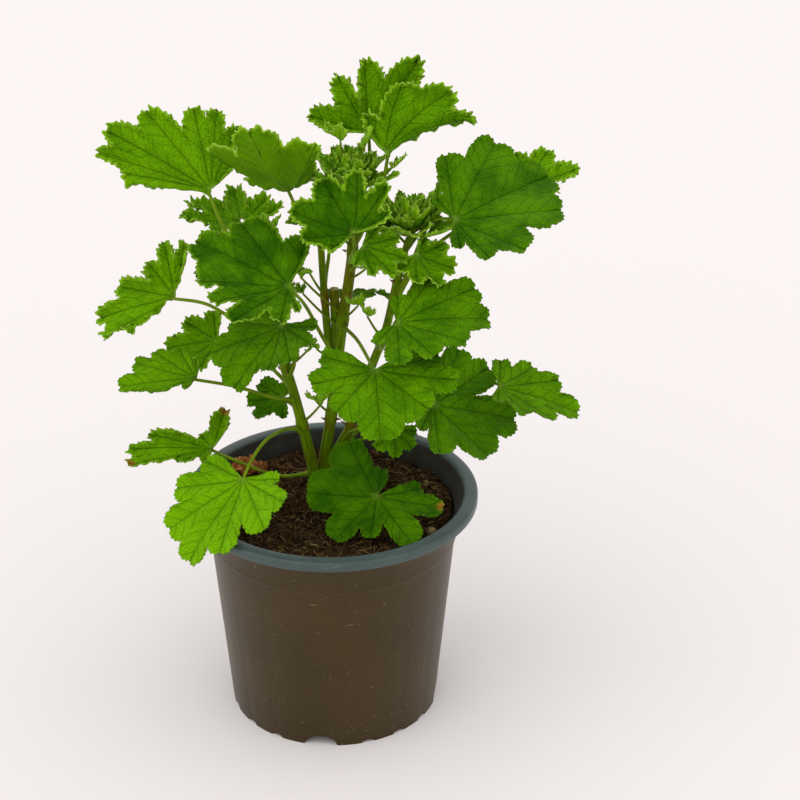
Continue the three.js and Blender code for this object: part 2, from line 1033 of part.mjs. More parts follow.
// The corners of the cut edge, as [angle, reach], from one basal lobe round to the other.
function edgeCorners(leaf) {
  const corners = [];
  const lobes = leaf.lobes;
  const samples = leaf.fine ? [0.3, 0.6] : [0.5];
  const between = (tip, end, share) => {
    const reach = end[1] + (tip[1] - end[1]) * (1 - share ** LOBE_ROUNDNESS);
    return [tip[0] + (end[0] - tip[0]) * share, reach];
  };
  const half = (tip, end) =>
    samples.map((share, i) => {
      const [angle, reach] = between(tip, end, share);
      const tooth = leaf.fine && i === 0 ? -TOOTH : TOOTH * 0.5;
      return [angle, reach * (1 + tooth)];
    });
  const notchAfter = (i) => {
    const [a, b] = [lobes[i], lobes[i + 1]];
    return [(a[0] + b[0]) / 2, a[2] ?? NOTCH_SHARE * Math.min(a[1], b[1])];
  };
  const flare = leaf.flare ?? END_FLARE;
  lobes.forEach((lobe, i) => {
    const isLast = i === lobes.length - 1;
    const before = i > 0 ? notchAfter(i - 1) : [lobe[0] - flare, lobe[1] * END_SHARE];
    const after = isLast ? [lobe[0] + flare, lobe[1] * END_SHARE] : notchAfter(i);
    if (i === 0) {
      corners.push(before);
    }
    corners.push(...half(lobe, before).reverse(), [lobe[0], lobe[1]], ...half(lobe, after), after);
  });
  return corners;
}

// Both faces of a blade have the same triangles, so they never cross.
function bladeGeometry(leaf, axes, corners, thickness, rings) {
  const sheet = [[0, 0]];
  rings.forEach((share) => {
    corners.forEach(([angle, reach]) => {
      const r = reach * share;
      sheet.push([r * Math.cos(angle * DEG), r * Math.sin(angle * DEG)]);
    });
  });
  const positions = [];
  [1, -1].forEach((side) => {
    sheet.forEach(([a, b]) => {
      const p = bladePoint(leaf, axes, a, b);
      p.addScaledVector(bladeOffset(leaf, axes, a, b), (side * thickness) / 2);
      positions.push(p.x, p.y, p.z);
    });
  });
  const count = corners.length;
  const lower = sheet.length;
  const faces = [];
  for (let j = 0; j < count - 1; j += 1) {
    faces.push([0, 1 + j, 2 + j]);
    for (let k = 1; k < rings.length; k += 1) {
      const near = 1 + (k - 1) * count + j;
      const far = near + count;
      faces.push([near, far, far + 1], [near, far + 1, near + 1]);
    }
  }
  const index = [];
  faces.forEach(([a, b, c]) => {
    index.push(a, b, c);
    index.push(lower + a, lower + c, lower + b);
  });
  // The rim runs out along the first edge, round the cut edge, and back to the middle.
  const rim = [0];
  for (let k = 0; k < rings.length; k += 1) {
    rim.push(1 + k * count);
  }
  for (let j = 1; j < count; j += 1) {
    rim.push(1 + (rings.length - 1) * count + j);
  }
  for (let k = rings.length - 2; k >= 0; k -= 1) {
    rim.push(k * count + count);
  }
  rim.forEach((a, i) => {
    const b = rim[(i + 1) % rim.length];
    index.push(a, lower + a, lower + b, a, lower + b, b);
  });
  const geometry = new THREE.BufferGeometry();
  geometry.setAttribute("position", new THREE.Float32BufferAttribute(positions, 3));
  geometry.setIndex(index);
  return geometry;
}

function leafGeometry(row) {
  const leaf = { ...row, length: Math.max(...row.lobes.map((lobe) => lobe[1])) };
  const axes = bladeAxes(leaf);
  const blade = bladeGeometry(leaf, axes, edgeCorners(leaf), BLADE_THICKNESS, [INNER_RING, 1]);
  const { point, along } = stemAt(leaf.stem, leaf.high);
  const first = vector(leaf.via[0]).sub(point).normalize();
  const slant = Math.abs(first.dot(along));
  const square = Math.sqrt(1 - slant * slant);
  const skin = stemRadius(leaf.stem, leaf.high) + GAP + STALK_RADIUS * slant;
  const start = point.clone().addScaledVector(first, skin / square);
  const end = vector(leaf.at).addScaledVector(axes.midrib, STALK_END);
  const curve = new THREE.CatmullRomCurve3([start, ...leaf.via.map(vector), end]);
  const steps = Math.max(4, Math.round(curve.getLength() / STALK_STEP));
  const tube = stalk(curve, (t) => STALK_RADIUS * (1.08 - 0.25 * t), STALK_SIDES, steps);
  return geometryOf(bodyOf(blade).add(bodyOf(tube)));
}

// Growing tips: small blades stand out of a core, each turned on from the one before.

function tuftGeometry(tuft) {
  const core = new THREE.SphereGeometry(tuft.core, 8, 6).scale(1, 1, 1.3).translate(...tuft.at);
  let body = bodyOf(core);
  for (let i = 0; i < tuft.leaves; i += 1) {
    const share = i / (tuft.leaves - 1);
    const toward = tuft.first + TUFT_TURN * i;
    const rise = THREE.MathUtils.lerp(...YOUNG_RISE, share);
    const length = tuft.reach * (0.5 + 0.5 * share);
    const out = new THREE.Vector3(
      Math.cos(rise * DEG) * Math.cos(toward * DEG),
      Math.cos(rise * DEG) * Math.sin(toward * DEG),
      Math.sin(rise * DEG),
    );
    const root = vector(tuft.at).addScaledVector(out, tuft.core * 0.3);
    const leaf = {
      at: root.toArray(),
      lean: rise,
      toward: toward + 180,
      turn: 180,
      length,
      ...YOUNG_FORM,
    };
    const corners = YOUNG_LOBES.flatMap((angle, j) => {
      const reach = length * (1 - 0.006 * Math.abs(angle));
      const tip = [angle, reach];
      const notch = [angle + 23, length * YOUNG_NOTCH];
      return j < YOUNG_LOBES.length - 1 ? [tip, notch] : [tip];
    });
    const blade = bladeGeometry(leaf, bladeAxes(leaf), corners, YOUNG_BLADE_THICKNESS, [1]);
    body = body.add(bodyOf(blade));
  }
  return geometryOf(body);
}

// Litter on the peat.

function deadStalkGeometry() {
  const curve = new THREE.CatmullRomCurve3(
    DEAD_STALK.points.map(([x, y]) => {
      return new THREE.Vector3(x, y, soilHeight(x, y) + DEAD_STALK.lift);
    }),
  );
  return stalk(curve, () => DEAD_STALK.radius, 5, 6);
}

function deadLeafGeometry() {
  const [x, y] = DEAD_LEAF.at;
  const height = soilHeight(x, y) + DEAD_LEAF.core + DEAD_LEAF.lift;
  let body = bodyOf(new THREE.SphereGeometry(DEAD_LEAF.core, 7, 5).translate(x, y, height));
  for (let i = 0; i < DEAD_LEAF.scraps; i += 1) {
    const toward = TUFT_TURN * i + 180;
    const leaf = { ...DEAD_FORM, at: [x, y, height], toward, length: DEAD_LEAF.reach };
    const corners = YOUNG_LOBES.map((angle) => [angle, DEAD_LEAF.reach]);
    const blade = bladeGeometry(leaf, bladeAxes(leaf), corners, YOUNG_BLADE_THICKNESS, [1]);
    body = body.add(bodyOf(blade));
  }
  return geometryOf(body);
}

function feedPelletGeometry() {
  const [x, y] = FEED_PELLET.at;
  const height = soilHeight(x, y) + FEED_PELLET.radius + FEED_PELLET.lift;
  return new THREE.SphereGeometry(FEED_PELLET.radius, 8, 6).translate(x, y, height);
}

// The whole plant in its pot.

const group = new THREE.Group();

function place(name, geometry, color, roughness) {
  const material = new THREE.MeshStandardMaterial({ color, roughness, metalness: 0 });
  const mesh = new THREE.Mesh(geometry, material);
  mesh.name = name;
  group.add(mesh);
}

place("pot", potGeometry(), COLOURS.pot, 0.55);
place("soil", soilGeometry(), COLOURS.soil, 0.95);
place("stems", stemsGeometry(), COLOURS.stem, 0.6);
TUFTS.forEach((tuft) => place(tuft.name, tuftGeometry(tuft), COLOURS.young, 0.6));
LEAVES.forEach((leaf) => {
  const color = leaf.name === "leaf_front_left" ? COLOURS.leafBright : COLOURS.leaf;
  place(leaf.name, leafGeometry(leaf), color, 0.6);
});
place("dead_stalk", deadStalkGeometry(), COLOURS.deadStalk, 0.9);
place("dead_leaf", deadLeafGeometry(), COLOURS.dead, 0.9);
place("feed_pellet", feedPelletGeometry(), COLOURS.pellet, 0.7);

export default group;
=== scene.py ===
import math
import random

import bmesh
import bpy
import numpy as np
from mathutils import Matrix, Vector, noise


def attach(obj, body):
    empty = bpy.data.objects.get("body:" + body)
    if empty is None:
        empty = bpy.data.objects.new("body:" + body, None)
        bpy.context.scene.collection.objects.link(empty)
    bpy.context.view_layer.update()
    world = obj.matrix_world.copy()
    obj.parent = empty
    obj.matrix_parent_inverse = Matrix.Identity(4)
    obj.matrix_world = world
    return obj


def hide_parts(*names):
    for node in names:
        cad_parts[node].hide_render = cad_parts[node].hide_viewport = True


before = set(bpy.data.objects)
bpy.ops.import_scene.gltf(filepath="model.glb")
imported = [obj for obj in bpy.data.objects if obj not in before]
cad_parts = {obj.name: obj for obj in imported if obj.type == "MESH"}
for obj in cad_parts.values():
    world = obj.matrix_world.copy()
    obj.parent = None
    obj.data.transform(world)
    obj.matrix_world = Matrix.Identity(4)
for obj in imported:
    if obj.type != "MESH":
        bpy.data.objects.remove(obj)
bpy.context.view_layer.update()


# The picture: a long lens from the front and a little above, one pale floor, and soft
# light from the upper left with a weaker one from the right.
def paint(red, green, blue):
    """A colour given as 0 to 255 on the screen, as the shader's linear colour."""
    shares = [value / 255 for value in (red, green, blue)]
    linear = [s / 12.92 if s < 0.04045 else ((s + 0.055) / 1.055) ** 2.4 for s in shares]
    return (*linear, 1.0)


scene = bpy.context.scene
scene.view_settings.view_transform = "Standard"
scene.view_settings.look = "None"

camera = bpy.data.objects.new("camera", bpy.data.cameras.new("camera"))
scene.collection.objects.link(camera)
camera.location = (0.0302, -0.8905, 0.6054)
camera.rotation_euler = (math.radians(62.93), 0, 0)
camera.data.lens = 102.7
camera.data.sensor_width = 36
camera.data.clip_end = 20
scene.camera = camera

world = bpy.data.worlds.new("soft room")
world.use_nodes = True
world.node_tree.nodes["Background"].inputs["Color"].default_value = (1.0, 0.985, 0.97, 1.0)
world.node_tree.nodes["Background"].inputs["Strength"].default_value = 0.92
scene.world = world

for label, turn, power, spread in (
    ("key light", (34, -26, -12), 0.72, 70),
    ("fill light", (48, 0, 62), 0.25, 80),
):
    lamp = bpy.data.objects.new(label, bpy.data.lights.new(label, "SUN"))
    lamp.rotation_euler = [math.radians(angle) for angle in turn]
    lamp.data.energy = power
    lamp.data.angle = math.radians(spread)
    scene.collection.objects.link(lamp)


def finished(bm, name, materials):
    """Turns a worked mesh into an object at the origin."""
    mesh = bpy.data.meshes.new(name)
    bm.to_mesh(mesh)
    bm.free()
    for material in materials:
        mesh.materials.append(material)
    piece = bpy.data.objects.new(name, mesh)
    scene.collection.objects.link(piece)
    return piece


def new_material(name, **settings):
    """A material with its own Principled shader, set from the shader's socket names."""
    material = bpy.data.materials.new(name)
    material.use_nodes = True
    shader = material.node_tree.nodes["Principled BSDF"]
    for socket, value in settings.items():
        shader.inputs[socket.replace("_", " ")].default_value = value
    return material, material.node_tree, shader


HALF_FLOOR = 6
floor_bm = bmesh.new()
bmesh.ops.create_grid(floor_bm, x_segments=1, y_segments=1, size=HALF_FLOOR)
floor_material = new_material(
    "pale floor", Base_Color=(0.855, 0.815, 0.82, 1), Roughness=1.0, Specular_IOR_Level=0
)[0]
floor = finished(floor_bm, "floor", [floor_material])


# The leaves: each is one grown piece, a hairy stalk and a lobed, toothed blade with sunken
# veins above and raised ones beneath. Each stalk grows from the side of a stem.
def add(tree, kind, *values, **settings):
    """A new shader node with its settings made and its inputs linked or set in their order."""
    made = tree.nodes.new("ShaderNode" + kind)
    for name, value in settings.items():
        setattr(made, name, value)
    for socket, value in zip(made.inputs, values):
        if isinstance(value, bpy.types.NodeSocket):
            tree.links.new(value, socket)
        elif value is not None:
            socket.default_value = value
    return made


def sums(tree, operation, *values):
    """One sum on numbers."""
    return add(tree, "Math", *values, operation=operation).outputs[0]


def ramp(tree, value, low, high, start=0.0, end=1.0):
    """A soft step of a number from start at low to end at high."""
    made = add(tree, "MapRange", value, low, high, start, end, interpolation_type="SMOOTHSTEP")
    return made.outputs[0]


def blend(tree, share, first, second):
    """Two colours mixed by a share."""
    made = tree.nodes.new("ShaderNodeMix")
    made.data_type = "RGBA"
    for socket, value in ((0, share), (6, first), (7, second)):
        if isinstance(value, bpy.types.NodeSocket):
            tree.links.new(value, made.inputs[socket])
        else:
            made.inputs[socket].default_value = value
    return made.outputs[2]


def speckle(tree, place, scale, detail=3.0, rough=0.55):
    """Soft noise from 0 to 1 at a place."""
    made = add(tree, "TexNoise", place, noise_dimensions="3D")
    made.inputs["Scale"].default_value = scale
    made.inputs["Detail"].default_value = detail
    made.inputs["Roughness"].default_value = rough
    return made.outputs[0]


def piece_place(tree):
    """Each point's own place on the object, in metres."""
    return add(tree, "TexCoord").outputs["Object"]


def group_of(name, ins, outs):
    """A new node group, its inner tree, and its input and output nodes."""
    tree = bpy.data.node_groups.new(name, "ShaderNodeTree")
    for label, kind in ins:
        tree.interface.new_socket(label, in_out="INPUT", socket_type="NodeSocket" + kind)
    for label, kind in outs:
        tree.interface.new_socket(label, in_out="OUTPUT", socket_type="NodeSocket" + kind)
    return tree, tree.nodes.new("NodeGroupInput"), tree.nodes.new("NodeGroupOutput")


SIDE_VEIN_GAP = 5.6
SIDE_VEIN_SLANT = 0.95
veins, given, result = group_of(
    "leaf veins",
    [("Blade", "Vector"), ("Vein", "Vector")],
    [(label, "Float") for label in ("Main", "Band", "Side", "Net", "Junction")],
)
vein_place = add(veins, "SeparateXYZ", given.outputs["Vein"])
off_vein = sums(veins, "ABSOLUTE", vein_place.outputs[0])
wobble = speckle(veins, given.outputs["Blade"], 0.16, 1.0)
main_width = ramp(veins, vein_place.outputs[1], 0, 42, 0.5, 0.18)
main_share = sums(veins, "DIVIDE", off_vein, main_width)
veins.links.new(ramp(veins, main_share, 0.25, 1.0, 1.0, 0.0), result.inputs["Main"])
veins.links.new(ramp(veins, off_vein, 0.0, 3.6, 1.0, 0.0), result.inputs["Band"])
swept = sums(veins, "MULTIPLY_ADD", off_vein, -SIDE_VEIN_SLANT, vein_place.outputs[1])
swept = sums(veins, "MULTIPLY_ADD", wobble, 3.0, swept)
other_side = sums(veins, "MULTIPLY", sums(veins, "GREATER_THAN", vein_place.outputs[0], 0), 0.45)
row = sums(veins, "ADD", sums(veins, "DIVIDE", swept, SIDE_VEIN_GAP), other_side)
off_side = sums(veins, "PINGPONG", sums(veins, "ADD", row, 60.0), 0.5)
side_mask = ramp(veins, off_side, 0.025, 0.075, 1.0, 0.0)
side_mask = sums(veins, "MULTIPLY", side_mask, ramp(veins, off_vein, 0.0, 1.0, 0.6, 1.0))
veins.links.new(side_mask, result.inputs["Side"])
cells = add(veins, "TexVoronoi", feature="DISTANCE_TO_EDGE", voronoi_dimensions="2D")
veins.links.new(given.outputs["Blade"], cells.inputs["Vector"])
cells.inputs["Scale"].default_value = 0.62
veins.links.new(ramp(veins, cells.outputs["Distance"], 0.02, 0.13, 1.0, 0.0), result.inputs["Net"])
from_junction = add(veins, "VectorMath", given.outputs["Blade"], operation="LENGTH").outputs["Value"]
veins.links.new(ramp(veins, from_junction, 0.8, 3.4, 1.0, 0.0), result.inputs["Junction"])


def vein_masks(tree):
    """The vein pattern at each point of a blade."""
    masks = tree.nodes.new("ShaderNodeGroup")
    masks.node_tree = veins
    for label in ("Blade", "Vein"):
        tree.links.new(add(tree, "UVMap", uv_map=label).outputs[0], masks.inputs[label])
    return masks.outputs


def attribute(tree, name):
    """A number kept at each corner of the mesh."""
    return add(tree, "Attribute", attribute_name=name).outputs["Fac"]


def bump(tree, shader, height, depth):
    """Relief on a shader, its depth in metres."""
    made = add(tree, "Bump", 1.0, depth)
    tree.links.new(height, made.inputs["Height"])
    tree.links.new(made.outputs[0], shader.inputs["Normal"])


def blade_material(name, deep, fresh, margin_and_highlight, vein_shade_and_colour, vein_height):
    """One face of a blade, its veins raised or sunken, with a faint sheen from short hairs."""
    material, tree, shader = new_material(
        name,
        Roughness=0.6,
        Specular_IOR_Level=0.1,
        Specular_Tint=(0.6, 1.0, 0.2, 1),
        Sheen_Weight=0.02,
        Sheen_Tint=(0.55, 0.9, 0.2, 1),
    )
    masks = vein_masks(tree)
    place = piece_place(tree)
    patches = ramp(tree, speckle(tree, place, 75), 0.3, 0.7, -0.18, 0.18)
    tone = sums(tree, "ADD", attribute(tree, "tone"), patches)
    colour = blend(tree, tone, deep, fresh)
    # The paler yellow-green margin is strongest where the edge curls. It is partly the leaf's own edge
    # colour and partly a painted highlight where its edge hairs catch the light.
    to_margin = attribute(tree, "edge")
    curled = ramp(tree, attribute(tree, "curl"), 0.3, 0.9, 0.08, 0.9)
    verge = sums(tree, "MULTIPLY", ramp(tree, to_margin, 0.1, 1.4, 1.0, 0.0), curled)
    colour = blend(tree, verge, colour, margin_and_highlight)
    # On the upper face the darker green at the veins and in soft bands along the main veins is painted
    # shade. It stands for the shadow in the sunken veins and their furrows. On the under face the
    # paler green is the raised veins' own colour.
    for part, strength in (("Band", 0.12), ("Net", 0.02), ("Side", 0.07), ("Main", 0.24)):
        colour = blend(tree, sums(tree, "MULTIPLY", masks[part], strength), colour, vein_shade_and_colour)
    colour = blend(tree, sums(tree, "MULTIPLY", masks["Junction"], 0.45), colour, paint(122, 158, 52))
    scorch = ramp(tree, speckle(tree, place, 420, 2.0), 0.69, 0.74, 0.0, 1.0)
    scorch = sums(tree, "MULTIPLY", scorch, ramp(tree, to_margin, 0.3, 2.6, 0.55, 0.0))
    colour = blend(tree, scorch, colour, paint(92, 74, 22))
    ragged = sums(tree, "MULTIPLY_ADD", speckle(tree, place, 260), 0.5, attribute(tree, "dry"))
    colour = blend(tree, ramp(tree, ragged, 0.55, 0.95), colour, paint(154, 118, 38))
    tree.links.new(colour, shader.inputs["Base Color"])
    relief = sums(tree, "ADD", masks["Main"], sums(tree, "MULTIPLY", masks["Side"], 0.75))
    relief = sums(tree, "ADD", relief, sums(tree, "MULTIPLY", masks["Net"], 0.4))
    relief = sums(tree, "MULTIPLY", relief, vein_height)
    relief = sums(tree, "MULTIPLY_ADD", speckle(tree, place, 900, 2.0), 0.35, relief)
    bump(tree, shader, relief, 0.0005)
    return material


leaf_above = blade_material(
    "leaf above",
    paint(45, 94, 0),
    paint(116, 174, 2),
    paint(140, 190, 34),
    # Painted shade for the sunken veins and their furrows.
    paint(28, 72, 0),
    vein_height=-1.0,
)
leaf_below = blade_material(
    "leaf below",
    paint(58, 104, 0),
    paint(106, 156, 2),
    paint(146, 190, 44),
    paint(98, 144, 14),
    vein_height=0.6,
)


def stalk_material(name, green, pale, brown, browning):
    """Hairy green skin with lengthwise streaks, browner in patches."""
    material, tree, shader = new_material(
        name,
        Roughness=0.5,
        Specular_IOR_Level=0.16,
        Specular_Tint=(0.8, 1.0, 0.3, 1),
        Sheen_Weight=0.05,
        Sheen_Tint=(0.7, 0.9, 0.2, 1),
    )
    along = add(tree, "Mapping", add(tree, "UVMap", uv_map="Blade").outputs[0])
    along.inputs["Scale"].default_value = (0.1, 0.7, 1.0)
    streaks = speckle(tree, along.outputs[0], 1.0, 3.0)
    place = piece_place(tree)
    colour = blend(tree, ramp(tree, streaks, 0.35, 0.68), green, pale)
    patches = ramp(tree, speckle(tree, place, 60), 0.45, 0.75, 0.0, browning)
    colour = blend(tree, patches, colour, brown)
    tree.links.new(colour, shader.inputs["Base Color"])
    bump(tree, shader, sums(tree, "ADD", streaks, speckle(tree, place, 1400, 2.0)), 0.0004)
    return material


leaf_stalk = stalk_material(
    "leaf stalk", paint(88, 118, 4), paint(120, 150, 20), paint(104, 92, 14), 0.5
)
leaf_rim, rim_tree, rim_shader = new_material(
    "leaf rim", Roughness=0.6, Specular_IOR_Level=0.14
)
rim_grain = speckle(rim_tree, piece_place(rim_tree), 300)
# Curled rims are painted paler. This is partly the leaf's own yellow-green edge and partly a painted
# highlight where the edge catches the light.
rim_curled = ramp(rim_tree, attribute(rim_tree, "curl"), 0.3, 0.9)
rim_flat = blend(rim_tree, rim_grain, paint(58, 98, 4), paint(92, 138, 12))
rim_colour = blend(rim_tree, rim_curled, rim_flat, paint(152, 192, 62))
rim_tree.links.new(rim_colour, rim_shader.inputs["Base Color"])
LEAF_MATERIALS = [leaf_above, leaf_below, leaf_rim, leaf_stalk]

# Lengths are in mm, and MM makes them metres. BELOW, RIM and STALK are places in the list of
# materials above.
MM = 0.001
BLADE_SKIN = 0.5
TOOTH_WIDTH = 3.1
TOOTH_DEPTH = 1.75
COLUMN_STEP = 0.54
ROW_STEP = 1.5
RIM_STEP = 0.7
FOLD_WIDTH = 3
DRY_REACH = 3.2
EDGE_SAMPLES = 160
NOTCH_SHARE = 0.78
BELOW, RIM, STALK = 1, 2, 3


def blade_axes(leaf):
    """The blade's own axes: along the midrib, to its left, and out of the upper face."""
    lean, toward, turn = (math.radians(leaf[key]) for key in ("lean", "toward", "turn"))
    sin, cos = math.sin, math.cos
    face = Vector((sin(lean) * cos(toward), sin(lean) * sin(toward), cos(lean)))
    down = Vector((cos(lean) * cos(toward), cos(lean) * sin(toward), -sin(lean)))
    midrib = down * cos(turn) + face.cross(down) * sin(turn)
    return midrib, face.cross(midrib), face


def blade_points(leaf, a, b, lift):
    """Where flat points of a blade stand, in mm, lift above its middle surface."""
    midrib, left, face = blade_axes(leaf)
    length = leaf["length"]
    reach = np.hypot(a, b)
    wave = 1.1 * (reach / length) ** 2 * np.sin(5 * np.arctan2(b, a) + leaf["at"][0])
    folds = np.radians(np.atleast_1d(leaf["fold"]).astype(float))
    fold = np.where(b > 0, folds[0], folds[-1])
    rounding = FOLD_WIDTH / fold
    turned = np.minimum(np.abs(b), FOLD_WIDTH) / rounding
    flat = np.maximum(np.abs(b) - FOLD_WIDTH, 0)
    height = leaf["dish"] * reach**2 / length + rounding * (1 - np.cos(turned)) + flat * np.sin(fold)
    height = height + wave
    tilt = np.where(np.abs(b) > 0.5, fold * np.sign(b), 0.0)
    across = np.sign(b) * (rounding * np.sin(turned) + flat * np.cos(fold)) - lift * np.sin(tilt)
    height = height + lift * np.cos(tilt)
    bend = math.radians(leaf["arch"]) / length
    along = np.sin(bend * a) / bend + height * np.sin(bend * a)
    up = (np.cos(bend * a) - 1) / bend + height * np.cos(bend * a)
    swing = math.radians(leaf.get("sweep", 0)) * (1 - reach / length)
    ahead = along * np.cos(swing) - across * np.sin(swing)
    aside = along * np.sin(swing) + across * np.cos(swing)
    axes = [np.array(axis) for axis in (midrib, left, face)]
    spread = sum(np.outer(share, axis) for share, axis in zip((ahead, aside, up), axes))
    return np.array(leaf["at"]) + spread


def half_lobe(tip, end, leaf):
    """A lobe's edge from its tip to the notch beside it: smooth points, and the same with teeth."""
    size = leaf.get("teeth", 1.0)
    roundness = leaf.get("round", 3.4)
    keen = leaf.get("keen", 0.4)
    share = np.linspace(0, 1, EDGE_SAMPLES)
    angle = np.radians(tip[0] + (end[0] - tip[0]) * share)
    reach = end[1] + (tip[1] - end[1]) * (1 - share**roundness)
    reach = reach * (1 + 0.035 * np.sin(math.pi * share))
    line = np.stack([reach * np.cos(angle), reach * np.sin(angle)], axis=1)
    run = np.concatenate([[0], np.cumsum(np.linalg.norm(np.diff(line, axis=0), axis=1))])
    count = max(4, round(run[-1] / COLUMN_STEP))
    steps = np.linspace(0, run[-1], count + 1)
    smooth = np.stack([np.interp(steps, run, line[:, k]) for k in (0, 1)], axis=1)
    heading = np.gradient(smooth, axis=0)
    heading /= np.linalg.norm(heading, axis=1)[:, None]
    outward = np.stack([heading[:, 1], -heading[:, 0]], axis=1) * np.sign(end[0] - tip[0])
    teeth = max(1, round(run[-1] / (TOOTH_WIDTH * size * (0.58 + 0.42 * keen))))
    phase = (teeth + 0.5) * steps / run[-1]
    phase = phase + 0.16 * np.sin(1.9 * phase + tip[1])
    aside = 2 * np.abs(phase - np.round(phase))
    large = keen * (1 - aside) + (1 - keen) * (1 - aside**2.4)
    small = 1 - 2 * np.abs(2 * phase - np.round(2 * phase))
    uneven = 1 + 0.35 * np.sin(2.4 * np.round(phase) + tip[1])
    depth = leaf.get("cut", 1.0) * TOOTH_DEPTH * (0.6 + 0.4 * keen) * size * uneven
    depth = depth * (1 - 0.25 * steps / run[-1])
    depth = depth * np.clip((1 - steps / run[-1]) / 0.12, 0, 1)
    point = 0.82 * large + 0.18 * small - 0.45
    ahead = 0.45 * keen * depth * large
    cut = smooth + outward * (depth * point)[:, None] - heading * ahead[:, None]
    return smooth, cut


def outline(leaf):
    """The whole edge from one basal lobe round to the other, and which lobe each step is on."""
    lobes = leaf["lobes"]
    flare = leaf.get("flare", 18)

    def notch(i):
        one, two = lobes[i], lobes[i + 1]
        reach = one[2] if len(one) > 2 else NOTCH_SHARE * min(one[1], two[1])
        return ((one[0] + two[0]) / 2, reach)

    smooth, cut, owner = [], [], []
    for i, lobe in enumerate(lobes):
        before = notch(i - 1) if i else (lobe[0] - flare, lobe[1] * 0.5)
        after = notch(i) if i < len(lobes) - 1 else (lobe[0] + flare, lobe[1] * 0.5)
        rising = [side[::-1] for side in half_lobe(lobe, before, leaf)]
        falling = half_lobe(lobe, after, leaf)
        for made, one, two in ((smooth, rising[0], falling[0]), (cut, rising[1], falling[1])):
            made.extend((one if not i else one[1:]).tolist())
            made.extend(two[1:].tolist())
        owner.extend([i] * (len(rising[0]) + len(falling[0]) - 2))
    return np.array(smooth), np.array(cut), owner


